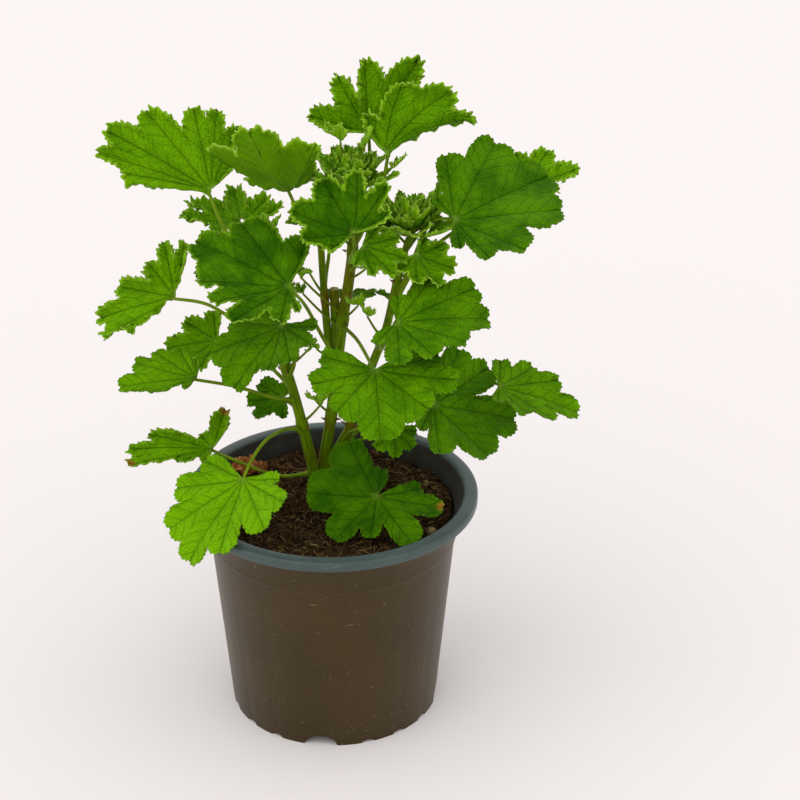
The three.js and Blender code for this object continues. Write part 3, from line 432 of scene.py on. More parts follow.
def grow_blade(bm, leaf):
    """Adds one blade to a mesh, with its places on the flat leaf and its veins as UV maps."""
    leaf = {**leaf, "length": leaf.get("length", max(lobe[1] for lobe in leaf["lobes"]))}
    smooth, cut, owner = outline(leaf)
    columns = len(smooth)
    rows = max(6, round(leaf["length"] / ROW_STEP))
    made = bmesh.ops.create_grid(bm, x_segments=columns - 1, y_segments=rows, size=1.0)
    corners = made["verts"]
    start = np.array([corner.co[:2] for corner in corners])
    column = np.rint((start[:, 0] + 1) / 2 * (columns - 1)).astype(int)
    row_share = (start[:, 1] + 1) / 2
    out = 1 - (1 - row_share) ** 1.25
    loosen = np.clip((out - 0.45) / 0.55, 0, 1) ** 1.5
    flat = out[:, None] * smooth[column] + loosen[:, None] * (cut - smooth)[column]
    a, b = flat[:, 0], flat[:, 1]

    rim = np.concatenate([[[0, 0]], cut, [[0, 0]]])
    around = np.concatenate([[0], np.cumsum(np.linalg.norm(np.diff(rim, axis=0), axis=1))])
    fine = np.arange(0, around[-1], RIM_STEP)
    rim = np.stack([np.interp(fine, around, rim[:, k]) for k in (0, 1)], axis=1)
    gaps = np.hypot(a[:, None] - rim[None, :, 0], b[:, None] - rim[None, :, 1])
    edge = gaps.min(axis=1)
    along_edge = fine[gaps.argmin(axis=1)]

    lobes = leaf["lobes"]
    vein_of = np.array(owner + owner[-1:])[column]
    vein_angle = np.radians(np.array([lobe[0] for lobe in lobes], float))[vein_of]
    off_vein = np.abs(b * np.cos(vein_angle) - a * np.sin(vein_angle))
    up_vein = a * np.cos(vein_angle) + b * np.sin(vein_angle)
    scale = leaf.get("teeth", 1.0)
    fading = np.clip(1 - 0.5 * up_vein / leaf["length"], 0, 1)
    furrow = np.exp(-((off_vein / (0.9 * scale)) ** 2)) * fading
    pleat = np.exp(-((off_vein / (3.2 * scale)) ** 2)) * np.clip(up_vein / 9, 0, 1)
    side = (up_vein - SIDE_VEIN_SLANT * off_vein) / (SIDE_VEIN_GAP * scale)
    quilt = 0.5 - 0.5 * np.cos(2 * math.pi * side)
    lift = leaf.get("quilt", 0.4) * (quilt - 0.5) * np.clip(off_vein / 2, 0, 1)
    lift = lift - (0.45 * furrow + leaf.get("pleat", 0.75) * pleat) * scale
    lift = lift * np.clip(np.hypot(a, b) / 6, 0, 1)
    crisp = leaf.get("crisp", 0.3)
    seed = leaf["at"][0] + leaf["at"][2]
    outer = np.clip(1 - edge / (6 * scale), 0, 1) ** 2
    verge = np.clip(1 - edge / (2.4 * scale), 0, 1) ** 2
    run = 2 * math.pi * along_edge / scale
    frill = 0.6 * np.sin(run / 11.3 + 2.1 * np.sin(along_edge / 13 + seed))
    frill = frill + 0.4 * np.sin(run / 4.9 + 2.4 * np.sin(along_edge / 8 + 2 * seed))
    lift = lift + crisp * scale * (1.6 * outer * frill + 1.2 * verge)
    lift = lift + 0.45 * outer * np.sin(along_edge / 2.3 + seed)

    dry = np.zeros(len(a))
    for i in leaf.get("dry_tips", []):
        turn = math.radians(lobes[i][0])
        off = np.hypot(a - lobes[i][1] * math.cos(turn), b - lobes[i][1] * math.sin(turn))
        dry = np.maximum(dry, np.exp(-((off / DRY_REACH) ** 2)))

    places = blade_points(leaf, a, b, lift) * MM
    edges = bm.verts.layers.float["edge"]
    curls = bm.verts.layers.float["curl"]
    dries = bm.verts.layers.float["dry"]
    tones = bm.verts.layers.float["tone"]
    ups = bm.verts.layers.float_vector["up"]
    blade_map = bm.loops.layers.uv["Blade"]
    vein_map = bm.loops.layers.uv["Vein"]
    tone = leaf.get("tone", 0.5)
    for i, corner in enumerate(corners):
        corner.co = places[i]
        corner.index = i
        corner[edges] = edge[i]
        corner[curls] = crisp
        corner[dries] = dry[i]
        corner[tones] = tone
    faces = list(dict.fromkeys(face for corner in corners for face in corner.link_faces))
    angles = [math.radians(lobe[0]) for lobe in lobes]
    for face in faces:
        first = min(column[loop.vert.index] for loop in face.loops)
        angle = angles[owner[first]]
        for loop in face.loops:
            i = loop.vert.index
            loop[blade_map].uv = (a[i] / scale, b[i] / scale)
            across = b[i] * math.cos(angle) - a[i] * math.sin(angle)
            ahead = a[i] * math.cos(angle) + b[i] * math.sin(angle)
            loop[vein_map].uv = (across / scale, ahead / scale)
    centre = [corner for i, corner in enumerate(corners) if row_share[i] < 1e-6]
    bmesh.ops.remove_doubles(bm, verts=centre, dist=1e-6)
    corners = [corner for corner in corners if corner.is_valid]
    faces = [face for face in faces if face.is_valid]
    for face in faces:
        face.normal_update()
    for corner in corners:
        corner.normal_update()
        corner[ups] = -corner.normal
    under = set(faces)
    raised = bmesh.ops.extrude_face_region(bm, geom=faces, use_keep_orig=True)["geom"]
    above = {item for item in raised if isinstance(item, bmesh.types.BMFace)}
    top = [item for item in raised if isinstance(item, bmesh.types.BMVert)]
    half = BLADE_SKIN * leaf.get("skin", 1.0) * MM / 2
    for corner in top:
        corner.co += Vector(corner[ups]) * half
    for corner in corners:
        corner.co -= Vector(corner[ups]) * half
        for face in corner.link_faces:
            if face not in under and face not in above:
                face.material_index = RIM
                for side_edge in face.edges:
                    side_edge.smooth = False
    for face in under:
        face.material_index = BELOW


CURVE_STEPS = 24


def smooth_path(points, step):
    """A smooth curve through points, evenly spaced."""
    points = [Vector(point) for point in points]
    ends = [2 * points[0] - points[1], *points, 2 * points[-1] - points[-2]]
    line = []
    for p0, p1, p2, p3 in zip(ends, ends[1:], ends[2:], ends[3:]):
        k0, k1, k2 = ((q - p).length ** 0.5 for p, q in ((p0, p1), (p1, p2), (p2, p3)))
        t1 = (p1 - p0) / k0 - (p2 - p0) / (k0 + k1) + (p2 - p1) / k1
        t2 = (p2 - p1) / k1 - (p3 - p1) / (k1 + k2) + (p3 - p2) / k2
        t1, t2 = t1 * k1, t2 * k1
        for i in range(CURVE_STEPS):
            t = i / CURVE_STEPS
            c2 = -3 * p1 + 3 * p2 - 2 * t1 - t2
            c3 = 2 * p1 - 2 * p2 + t1 + t2
            line.append(p1 + t1 * t + c2 * t * t + c3 * t**3)
    line.append(points[-1])
    line = np.array(line)
    run = np.concatenate([[0], np.cumsum(np.linalg.norm(np.diff(line, axis=0), axis=1))])
    count = max(3, round(run[-1] / step))
    steps = np.linspace(0, run[-1], count + 1)
    return np.stack([np.interp(steps, run, line[:, k]) for k in range(3)], axis=1)


def grow_tube(bm, path, radii, sides, material):
    """Adds a round tube along a path, all in mm, closed at both ends."""
    heading = np.gradient(path, axis=0)
    heading /= np.linalg.norm(heading, axis=1)[:, None]
    heading = np.concatenate([heading[:1], heading, heading[-1:]])
    path = np.concatenate([path[:1], path, path[-1:]])
    radii = np.concatenate([[0.0], radii, [0.0]])
    rings = len(path)
    made = bmesh.ops.create_grid(bm, x_segments=sides, y_segments=rings - 1, size=1.0)
    corners = made["verts"]
    start = np.array([corner.co[:2] for corner in corners])
    around = (start[:, 0] + 1) * math.pi
    ring = np.rint((start[:, 1] + 1) / 2 * (rings - 1)).astype(int)
    normal = np.cross(heading[0], (0.3, 0.9, 0.2))
    normals = []
    for way in heading:
        normal = normal - way * (normal @ way)
        normal = normal / np.linalg.norm(normal)
        normals.append(normal)
    normals = np.array(normals)
    sides_on = np.cross(heading, normals)
    spread = np.cos(around)[:, None] * normals[ring] + np.sin(around)[:, None] * sides_on[ring]
    places = (path[ring] + radii[ring][:, None] * spread) * MM
    run = np.concatenate([[0], np.cumsum(np.linalg.norm(np.diff(path, axis=0), axis=1))])
    blade_map = bm.loops.layers.uv["Blade"]
    for i, corner in enumerate(corners):
        corner.co = places[i]
        corner.index = i
    faces = {face for corner in corners for face in corner.link_faces}
    for face in faces:
        face.material_index = material
        for loop in face.loops:
            i = loop.vert.index
            loop[blade_map].uv = (run[ring[i]], start[i, 0] * sides * 0.5)
    bmesh.ops.remove_doubles(bm, verts=corners, dist=2e-6)


def plant_mesh():
    """A mesh with the layers that blades and stalks are given."""
    bm = bmesh.new()
    for layer in ("edge", "tone", "curl", "dry"):
        bm.verts.layers.float.new(layer)
    bm.verts.layers.float_vector.new("up")
    bm.loops.layers.uv.new("Blade")
    bm.loops.layers.uv.new("Vein")
    return bm


def planted(bm, name, node, materials):
    """Finishes a plant mesh as a piece, in the place of its CAD node if it has one."""
    bm.verts.layers.float_vector.remove(bm.verts.layers.float_vector["up"])
    bmesh.ops.recalc_face_normals(bm, faces=bm.faces)
    for face in bm.faces:
        face.smooth = True
    piece = finished(bm, name, materials)
    if node:
        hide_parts(node)
    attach(piece, "root")


# Each stem is given by points on its axis and its radius there, in mm.
STEMS = {
    "left": [
        (-7, 16, 84, 3.6),
        (-8, 15, 101, 3.3),
        (-13, 13, 129, 2.9),
        (-18, 12, 152, 2.7),
        (-22, 11, 167, 2.6),
        (-27, 11, 183, 2.3),
        (-30, 12, 198, 2.0),
        (-31, 14, 210, 1.7),
    ],
    "centre": [
        (-6, 18, 84, 3.8),
        (-5, 18.5, 103, 3.4),
        (-1, 18, 131, 3.0),
        (2, 18, 156, 3.0),
        (5, 18, 181, 3.0),
        (8, 18, 200, 2.8),
        (10, 18, 221, 2.5),
        (8, 18, 240, 2.1),
    ],
    "back": [
        (2, 18, 156, 2.4),
        (-1.2, 20, 169, 2.2),
        (-2.8, 21, 189, 2.0),
        (-4, 22, 211, 1.8),
        (-4.6, 22, 226, 1.6),
    ],
    "right": [
        (-5, 18, 86, 3.4),
        (-3, 18.5, 104, 3.2),
        (8, 18, 128, 2.7),
        (17, 16, 157, 2.4),
        (24, 14, 178, 2.2),
        (28, 12, 198, 2.0),
        (31, 12, 211, 1.9),
        (34, 12, 222, 1.7),
    ],
}
stem_lines = {name: smooth_path([p[:3] for p in points], 0.8) for name, points in STEMS.items()}


def stem_point(name, height):
    """The point of a stem's axis at a height."""
    line = stem_lines[name]
    return Vector([np.interp(height, line[:, 2], line[:, k]) for k in (0, 1)] + [height])


# A leaf's stalk meets its blade at "at". The upper face leans that far from the vertical and
# toward that side, and the midrib is turned in it. A lobe is the angle of its tip, its reach
# and the reach of the notch after it. The stalk leaves its stem that high and passes "via".
LEAVES = [
    {
        "name": "leaf_top",
        "at": (17, 22, 266),
        "lean": 65, "toward": -85, "turn": 180,
        "lobes": [[-75, 22, 14], [-36, 38, 24], [1, 31, 13], [27, 28, 17], [72, 27]],
        "fold": 6, "arch": -10, "dish": 0.1,
        "crisp": 1.0, "tone": 0.68, "round": 1.6, "keen": 1.0, "cut": 1.5, "pleat": 2.0, "flare": 14,
        "stem": "centre", "high": 226, "via": [(15, 28, 238), (17, 29, 252)],
    },
    {
        "name": "leaf_top_right",
        "at": (24, 10, 262),
        "lean": 60, "toward": -110, "turn": 120,
        "lobes": [[-80, 11], [-40, 18], [-3, 40, 33], [20, 37, 30], [50, 29], [88, 18]],
        "fold": [12, -130], "arch": 20, "dish": 0.05,
        "crisp": 1.0, "tone": 0.5, "round": 1.8, "keen": 1.0, "cut": 1.35, "pleat": 1.3,
        "flare": 12, "sweep": 16,
        "stem": "centre", "high": 218, "via": [(18, 11, 232), (23, 12, 248)],
    },
    {
        "name": "leaf_centre",
        "at": (11, -14, 235),
        "lean": 60, "toward": -100, "turn": -145,
        "lobes": [
            [-92, 18, 14], [-66, 25, 16], [-34, 26, 19], [0, 28, 22],
            [40, 28, 20], [64, 22, 15], [92, 13],
        ],
        "fold": 8, "arch": 10, "dish": 0.05,
        "crisp": 1.0, "tone": 0.08, "round": 1.8, "keen": 1.0, "cut": 1.25, "pleat": 1.7, "flare": 12,
        "stem": "centre", "high": 208, "via": [(9, 4, 216), (11, -8, 226)],
    },
    {
        "name": "leaf_centre_lower",
        "at": (14.5, -10, 228),
        "lean": 35, "toward": -80, "turn": 60,
        "lobes": [[-85, 11], [-50, 15], [-18, 19], [12, 20], [42, 16], [80, 11]],
        "fold": 8, "arch": 25, "dish": 0,
        "crisp": 0.6, "tone": 0.4, "round": 1.9, "keen": 1.0,
        "stem": "centre", "high": 204, "via": [(13, 8, 213), (16, -2, 223)],
    },
    {
        "name": "leaf_right_upper",
        "at": (53, -8, 239),
        "lean": 30, "toward": -100, "turn": 125,
        "lobes": [
            [-108, 16, 13], [-86, 28, 25.9], [-62, 35, 30.2], [-22, 44, 42.7],
            [6, 47, 41], [40, 43, 30.1], [70, 31, 12.6], [97, 13],
        ],
        "fold": 10, "arch": 15, "dish": 0,
        "crisp": 0.3, "tone": 0.2,
        "stem": "right", "high": 190, "via": [(34, 10, 208), (43, 9, 230)],
    },
    {
        "name": "leaf_right_rear",
        "at": (82, 22, 240),
        "lean": 40, "toward": -80, "turn": 105,
        "lobes": [[-95, 12], [-50, 12], [-14, 17, 14], [6, 30, 20], [36, 24, 16], [75, 17], [110, 12]],
        "fold": 10, "arch": 20, "dish": 0,
        "crisp": 0.9, "tone": 0.62, "round": 1.8, "keen": 1.0, "cut": 1.2,
        "stem": "right", "high": 206, "via": [(50, 22, 218), (70, 24, 232)],
    },
    {
        "name": "leaf_right_inner",
        "at": (37, -4, 221),
        "lean": 35, "toward": -70, "turn": 60,
        "lobes": [[-120, 13], [-76, 15], [-40, 17], [5, 18], [45, 15], [80, 10]],
        "fold": 8, "arch": 20, "dish": 0,
        "crisp": 0.8, "tone": 0.5, "round": 2.2, "keen": 1.0,
        "stem": "right", "high": 184, "via": [(31, 6, 200), (36, 2, 212)],
    },
    {
        "name": "leaf_right_middle",
        "at": (29, -28, 201),
        "lean": 25, "toward": -100, "turn": 100,
        "lobes": [
            [-132, 14, 11.6], [-88, 24, 16.2], [-52, 24, 23.2], [-20, 30, 29.1],
            [8, 39, 36.9], [30, 38, 27.2], [57, 28, 13.6], [88, 14],
        ],
        "fold": 6, "arch": 20, "dish": 0,
        "crisp": 0.25, "tone": 0.34,
        "stem": "right", "high": 168, "via": [(21, 2, 178), (26, -18, 193)],
    },
    {
        "name": "leaf_front_centre",
        "at": (20, -38, 184),
        "lean": 30, "toward": -85, "turn": 0,
        "lobes": [
            [-108, 23, 21.7], [-75, 28, 20.5], [-42, 26, 25.1], [0, 31, 27.2],
            [46, 28, 26.2], [75, 34, 26.2], [100, 27],
        ],
        "fold": 6, "arch": 25, "dish": 0,
        "crisp": 0.15, "tone": 0.4,
        "stem": "centre", "high": 178, "via": [(12, -8, 183)],
    },
    {
        "name": "leaf_right_lower",
        "at": (45, -6, 151),
        "lean": 30, "toward": -70, "turn": 70,
        "lobes": [
            [-112, 15], [-84, 26, 22.4], [-42, 33, 30.2], [2, 37, 17.9],
            [46, 34, 30.1], [72, 31, 15.5], [105, 16],
        ],
        "fold": 6, "arch": 15, "dish": 0,
        "crisp": 0.2, "tone": 0.38,
        "stem": "right", "high": 118, "via": [(18, 10, 127), (36, 0, 142)],
    },
    {
        "name": "leaf_far_right",
        "at": (73, -8, 161),
        "lean": 15, "toward": -70, "turn": 50,
        "lobes": [
            [-75, 11], [-34, 20, 18.2], [-13, 28, 25.7], [11, 36, 26.2],
            [36, 27, 19.4], [62, 20], [107, 16],
        ],
        "fold": 8, "arch": 20, "dish": 0,
        "crisp": 0.25, "tone": 0.55,
        "stem": "right", "high": 128, "via": [(46, 23, 137), (70, 18, 149)],
    },
    {
        "name": "leaf_under_centre",
        "at": (28, -10, 141),
        "lean": 50, "toward": -65, "turn": -15,
        "lobes": [[-85, 11], [-45, 12], [4, 12], [47, 11], [92, 10]],
        "fold": 6, "arch": 20, "dish": 0,
        "crisp": 0.3, "tone": 0.35, "round": 2.4, "keen": 0.5,
        "stem": "right", "high": 124, "via": [(12, 8, 132), (22, -2, 140)],
    },
    {
        "name": "leaf_over_soil",
        "at": (20, -20, 113),
        "lean": 25, "toward": -85, "turn": -40,
        "lobes": [
            [-153, 16, 15], [-122, 32, 24], [-56, 30, 20], [-4, 28, 17],
            [28, 21, 11], [67, 30, 16], [116, 29, 20], [142, 20],
        ],
        "fold": 4, "arch": 12, "dish": 0,
        "crisp": 0.2, "tone": 0.14, "round": 2.6, "keen": 0.3, "dry_tips": [6],
        "stem": "right", "high": 106, "via": [(6, 8, 107), (15, -8, 108)],
    },
    {
        "name": "leaf_front_left",
        "at": (-37.5, -28, 126),
        "lean": 35, "toward": -130, "turn": 0,
        "lobes": [
            [-92, 22, 21.3], [-60, 31, 30.1], [-33, 39, 37.8], [-8, 42, 33],
            [14, 34, 21.3], [56, 29, 26.2], [84, 27, 16.5], [112, 17],
        ],
        "fold": 6, "arch": 20, "dish": 0,
        "crisp": 0.15, "tone": 0.95, "pleat": 0.9,
        "stem": "left", "high": 126, "via": [(-18, 4, 134), (-28, -12, 137), (-34, -21, 132)],
    },
    {
        "name": "leaf_far_left_low",
        "at": (-55, 26, 112),
        "lean": 35, "toward": -90, "turn": -90,
        "lobes": [
            [-105, 19, 8], [-50, 9, 8], [-16, 30, 27], [-4, 39, 36],
            [8, 39, 20], [24, 16], [60, 9],
        ],
        "fold": 20, "arch": 25, "dish": 0.05,
        "crisp": 0.7, "tone": 0.75, "round": 1.9, "keen": 1.0, "dry_tips": [0, 4],
        "stem": "left", "high": 106, "via": [(-24, 15, 104), (-44, 20, 109)],
    },
    {
        "name": "leaf_left_middle",
        "at": (-58, -6, 164),
        "lean": 15, "toward": -60, "turn": -100,
        "lobes": [
            [-105, 11], [-80, 18, 17], [-52, 22, 21], [-30, 27, 26],
            [-8, 33, 28], [8, 22], [40, 9],
        ],
        "fold": 12, "arch": 12, "dish": 0,
        "crisp": 0.3, "tone": 0.66, "teeth": 0.7, "flare": 10,
        "stem": "left", "high": 144, "via": [(-24, 6, 148), (-42, 0, 157)],
    },
    {
        "name": "leaf_left_rear",
        "at": (-52, 34, 163),
        "lean": 30, "toward": -95, "turn": -80,
        "lobes": [[-88, 15], [-42, 18], [-5, 24], [30, 20], [60, 18], [92, 14]],
        "fold": 10, "arch": 20, "dish": 0,
        "crisp": 0.9, "tone": 0.72, "round": 2.4, "keen": 0.6, "cut": 1.2,
        "stem": "left", "high": 150, "via": [(-28, 22, 156), (-42, 32, 163)],
    },
    {
        "name": "leaf_far_left",
        "at": (-69, 26, 188),
        "lean": 40, "toward": -105, "turn": -65,
        "lobes": [
            [-112, 26, 18], [-92, 27, 17], [-68, 21, 14], [-31, 28, 26],
            [-8, 39, 34], [8, 37, 24], [20, 26],
        ],
        "fold": 10, "arch": 25, "dish": 0,
        "crisp": 1.0, "tone": 0.74, "round": 1.9, "keen": 1.0, "cut": 1.35, "pleat": 1.6, "flare": 6,
        "stem": "left", "high": 168, "via": [(-36, 14, 177), (-54, 20, 187)],
    },
    {
        "name": "leaf_left_large",
        "at": (-16, -22, 215),
        "lean": 25, "toward": -70, "turn": -125,
        "lobes": [
            [-88, 26, 23], [-42, 41, 37], [-16, 47, 41], [12, 38, 28],
            [36, 34, 23], [62, 33, 17], [98, 22, 12], [125, 14],
        ],
        "fold": 6, "arch": 18, "dish": 0,
        "crisp": 0.6, "tone": 0.14, "round": 2.4, "keen": 0.8, "pleat": 1.5, "flare": 8,
        "stem": "centre", "high": 160, "via": [(-4, 8, 178), (-11, -10, 202)],
    },
    {
        "name": "leaf_left_lower",
        "at": (-20, -8, 190),
        "lean": 30, "toward": -125, "turn": 0,
        "lobes": [
            [-110, 16], [-76, 24, 23.3], [-46, 32, 31], [-12, 34, 20.8],
            [14, 22, 19.5], [42, 21, 17.5], [76, 18], [105, 16],
        ],
        "fold": 6, "arch": 18, "dish": 0,
        "crisp": 0.3, "tone": 0.38,
        "stem": "left", "high": 156, "via": [(-16, 4, 166), (-17, -1, 180)],
    },
    {
        "name": "leaf_upper_left_inner",
        "at": (-39, 30, 222),
        "lean": 20, "toward": -90, "turn": -135,
        "lobes": [[-108, 20, 14], [-79, 19, 10], [-33, 23, 12], [10, 30, 16], [37, 27, 14], [75, 14]],
        "fold": 8, "arch": 12, "dish": 0,
        "crisp": 1.2, "tone": 0.7, "round": 1.6, "keen": 1.0, "cut": 1.4, "pleat": 1.6,
        "stem": "left", "high": 192, "via": [(-34, 24, 205), (-37, 28, 215)],
    },
    {
        "name": "leaf_upper_left",
        "at": (-50.6, 20, 241),
        "lean": 45, "toward": -75, "turn": -106,
        "lobes": [
            [-119, 22, 16], [-104, 30, 26], [-86, 35, 32], [-71, 36, 28], [-44, 43, 40],
            [-24, 51, 46], [-12, 50, 42], [-4, 38], [34, 28, 22], [76, 18],
        ],
        "fold": [-125, 10], "arch": 15, "dish": 0.05,
        "crisp": 0.85, "tone": 0.62, "round": 2.0, "keen": 1.0, "cut": 1.1, "flare": 8,
        "stem": "left", "high": 202, "via": [(-37, 8, 214), (-46, 12, 229)],
    },
    {
        "name": "leaf_top_left",
        "at": (-17, 17, 241.5),
        "lean": 45, "toward": 80, "turn": 175,
        "lobes": [[-88, 20, 17], [-60, 38, 30], [-12, 41, 33], [30, 36, 26], [46, 22]],
        "fold": 10, "arch": -15, "dish": 0.1,
        "crisp": 0.8, "tone": 0.5, "round": 2.4, "keen": 1.0, "flare": 8,
        "stem": "back", "high": 214, "via": [(-9, 21, 225), (-14, 19, 233)],
    },
    {
        "name": "leaf_low_rear_left",
        "at": (-22, 30, 136),
        "lean": 34, "toward": -85, "turn": -90,
        "lobes": [[-110, 8], [-37, 14], [-3, 17], [26, 16], [80, 10]],
        "fold": 8, "arch": 20, "dish": 0,
        "crisp": 0.3, "tone": 0.3,
        "stem": "left", "high": 118, "via": [(-13, 22, 126), (-18, 28, 133)],
    },
    {
        "name": "leaf_rear_left",
        "at": (-38, 38, 200),
        "lean": 35, "toward": 120, "turn": 0,
        "lobes": [[-105, 16], [-60, 22], [-20, 27], [20, 27], [60, 23], [105, 16]],
        "fold": 6, "arch": 15, "dish": 0,
        "crisp": 0.4, "tone": 0.4, "round": 2.4, "keen": 1.0,
        "stem": "left", "high": 178, "via": [(-31, 24, 188), (-36, 34, 196)],
    },
    {
        "name": "leaf_rear_upper",
        "at": (-2, 40, 221),
        "lean": 40, "toward": 95, "turn": 0,
        "lobes": [[-100, 14], [-55, 19], [0, 23], [55, 20], [100, 14]],
        "fold": 6, "arch": 15, "dish": 0,
        "crisp": 0.6, "tone": 0.5, "round": 2.2, "keen": 1.0,
        "stem": "back", "high": 196, "via": [(-1, 30, 207), (-2, 37, 216)],
    },
    {
        "name": "leaf_rear_centre",
        "at": (8, 36, 186),
        "lean": 35, "toward": 90, "turn": 0,
        "lobes": [[-95, 11], [-48, 13], [0, 16], [48, 13], [95, 11]],
        "fold": 6, "arch": 15, "dish": 0,
        "crisp": 0.4, "tone": 0.4,
        "stem": "centre", "high": 164, "via": [(5, 28, 174), (7, 34, 181)],
    },
    {
        "name": "leaf_rear_right",
        "at": (33, 36, 181),
        "lean": 35, "toward": 55, "turn": 0,
        "lobes": [[-105, 15], [-60, 21], [-20, 25], [20, 25], [60, 21], [105, 15]],
        "fold": 6, "arch": 15, "dish": 0,
        "crisp": 0.4, "tone": 0.4, "round": 2.4, "keen": 1.0,
        "stem": "right", "high": 158, "via": [(24, 25, 167), (30, 33, 176)],
    },
    {
        "name": "leaf_rear_low",
        "at": (30, 40, 133),
        "lean": 35, "toward": 70, "turn": 0,
        "lobes": [[-105, 15], [-60, 21], [-20, 24], [20, 24], [60, 21], [105, 15]],
        "fold": 6, "arch": 15, "dish": 0,
        "crisp": 0.4, "tone": 0.4,
        "stem": "right", "high": 112, "via": [(10, 26, 120), (23, 36, 129)],
    },
]

STALK_STEP = 1.6
STALK_BASE = 5

for leaf in LEAVES:
    name = leaf["name"]
    bm = plant_mesh()
    grow_blade(bm, leaf)
    midrib, _, face = blade_axes(leaf)
    end = Vector(leaf["at"]) + midrib * 1.5 - face * 0.4
    path = smooth_path([stem_point(leaf["stem"], leaf["high"]), *leaf["via"], end], STALK_STEP)
    share = np.linspace(0, 1, len(path))
    swelling = np.exp(-((share * len(path) * STALK_STEP / STALK_BASE) ** 2))
    grow_tube(bm, path, 0.9 - 0.2 * share + 0.7 * swelling, 10, STALK)
    planted(bm, name.replace("_", "-"), name, LEAF_MATERIALS)


# The growing tips: a tuft of young crinkled leaves round a small core. They grow from the
# ends of the centre and right stems.
TUFTS = [
    {
        "node": "shoot_tip_centre", "stem": "centre", "at": (7.5, 19, 247.6),
        "core": 5.6, "reach": 19.1, "first": 61,
    },
    {
        "node": "shoot_tip_right", "stem": "right", "at": (35, 12, 228.5),
        "core": 4.5, "reach": 20, "first": 75,
    },
]
TUFT_LEAVES = 17
NEXT_LEAF_TURN = 137.5
# The young leaves have their own fresher green, painted lighter still to offset the shade inside the
# crowded tufts.
young_lightened_above = blade_material(
    "young leaf above",
    paint(72, 132, 0),
    paint(136, 200, 8),
    paint(168, 214, 60),
    paint(48, 104, 0),
    vein_height=-1.0,
)
young_lightened_below = blade_material(
    "young leaf below",
    paint(84, 140, 4),
    paint(136, 194, 14),
    paint(172, 214, 66),
    paint(118, 172, 30),
    vein_height=0.6,
)
YOUNG_MATERIALS = [young_lightened_above, young_lightened_below, leaf_rim, leaf_stalk]


def young_blade(draw, base, rise, toward, length, fold):
    """A small crinkled leaf that stands up from its base."""
    lobes = ((-62, 0.6), (-31, 0.86), (0, 1), (31, 0.86), (62, 0.6))
    return {
        "at": tuple(base),
        "lean": rise,
        "toward": toward + 180,
        "turn": 180 + draw.uniform(-16, 16),
        "lobes": [
            [
                angle + draw.uniform(-4, 4),
                length * size * draw.uniform(0.9, 1.1),
                length * size * 0.58,
            ]
            for angle, size in lobes
        ],
        "length": length,
        "fold": fold,
        "arch": draw.uniform(-15, 25),
        "dish": draw.uniform(0.05, 0.2),
        "round": 1.5,
        "keen": 1.0,
        "flare": 10,
        "crisp": 0.75,
        "teeth": 0.6,
        "quilt": 0.2,
        "pleat": 0.6,
        "skin": 0.8,
        # A high tone: fresher young green, painted lighter still against the shade among the young
        # leaves.
        "tone": draw.uniform(0.7, 1.0),
    }


for number, tuft in enumerate(TUFTS):
    draw = random.Random(30 + number)
    bm = plant_mesh()
    at = Vector(tuft["at"])
    stem_end = Vector(STEMS[tuft["stem"]][-1][:3])
    path = smooth_path([stem_end - Vector((0, 0, 3)), at - Vector((0, 0, 4)), at], 1.0)
    grow_tube(bm, path, np.linspace(1.7, 1.1, len(path)), 12, STALK)
    for i in range(TUFT_LEAVES):
        share = i / (TUFT_LEAVES - 1)
        toward = tuft["first"] + NEXT_LEAF_TURN * i + draw.uniform(-12, 12)
        rise = 86 - 74 * share + draw.uniform(-7, 7)
        length = tuft["reach"] * (0.6 + 0.4 * share) * draw.uniform(0.85, 1.1)
        slope, turn = math.radians(rise), math.radians(toward)
        level = math.cos(slope)
        out = Vector((level * math.cos(turn), level * math.sin(turn), math.sin(slope)))
        root = at - Vector((0, 0, 5 * share))
        aside = Vector((math.cos(turn), math.sin(turn), 0))
        base = root + out * 2 + aside * tuft["core"] * (0.25 + 0.55 * share)
        fold = draw.uniform(38, 52) - 20 * share
        grow_blade(bm, young_blade(draw, base, rise, toward, length, fold))
        path = smooth_path([root, (root + base) / 2 + Vector((0, 0, -0.5)), base], 1.2)
        grow_tube(bm, path, np.linspace(0.9, 0.6, len(path)), 6, STALK)
    planted(bm, tuft["node"].replace("_", "-"), tuft["node"], YOUNG_MATERIALS)


# Side shoots: young leaves on thin stalks, half hidden among the large leaves. They grow from
# the sides of the stems. Each is given by its stem, its height there, its tip and its length.
SIDE_SHOOTS = [
    ("centre", 183, (-13, 14, 203), 9),
    ("centre", 176, (-12, 16, 194), 8),
    ("centre", 214, (16, 5, 231), 12),
    ("centre", 214, (2, 8, 232), 11),
    ("centre", 200, (16, 10, 209), 10),
    ("centre", 181, (12, 8, 192), 9),
    ("centre", 160, (-6, 6, 172), 8),
    ("centre", 134, (-8, 8, 147), 8),
    ("back", 191, (-9, 14, 205), 9),
    ("back", 211, (-2, 13, 224), 11),
    ("left", 132, (-4, 6, 146), 9),
    ("left", 160, (-10, 5, 172), 8),
    ("left", 185, (-20, 8, 196), 9),
    ("left", 206, (-27, 13, 221), 12),
    ("right", 131, (16, 8, 143), 8),
    ("right", 172, (30, 6, 184), 9),
    ("right", 173, (16, 10, 186), 9),
    ("right", 203, (41, 8, 213), 12),
    ("right", 204, (24, 6, 214), 12),
    ("right", 214, (44, 13, 234), 13),
    ("centre", 238, (15, 11, 263), 10),
    ("centre", 238, (27, 13, 254), 9),
    ("centre", 238, (5, 15, 266), 12),
    ("right", 219, (50, 15, 237), 15),
    ("right", 219, (21, 8, 236), 13),
]
draw = random.Random(19)
bm = plant_mesh()
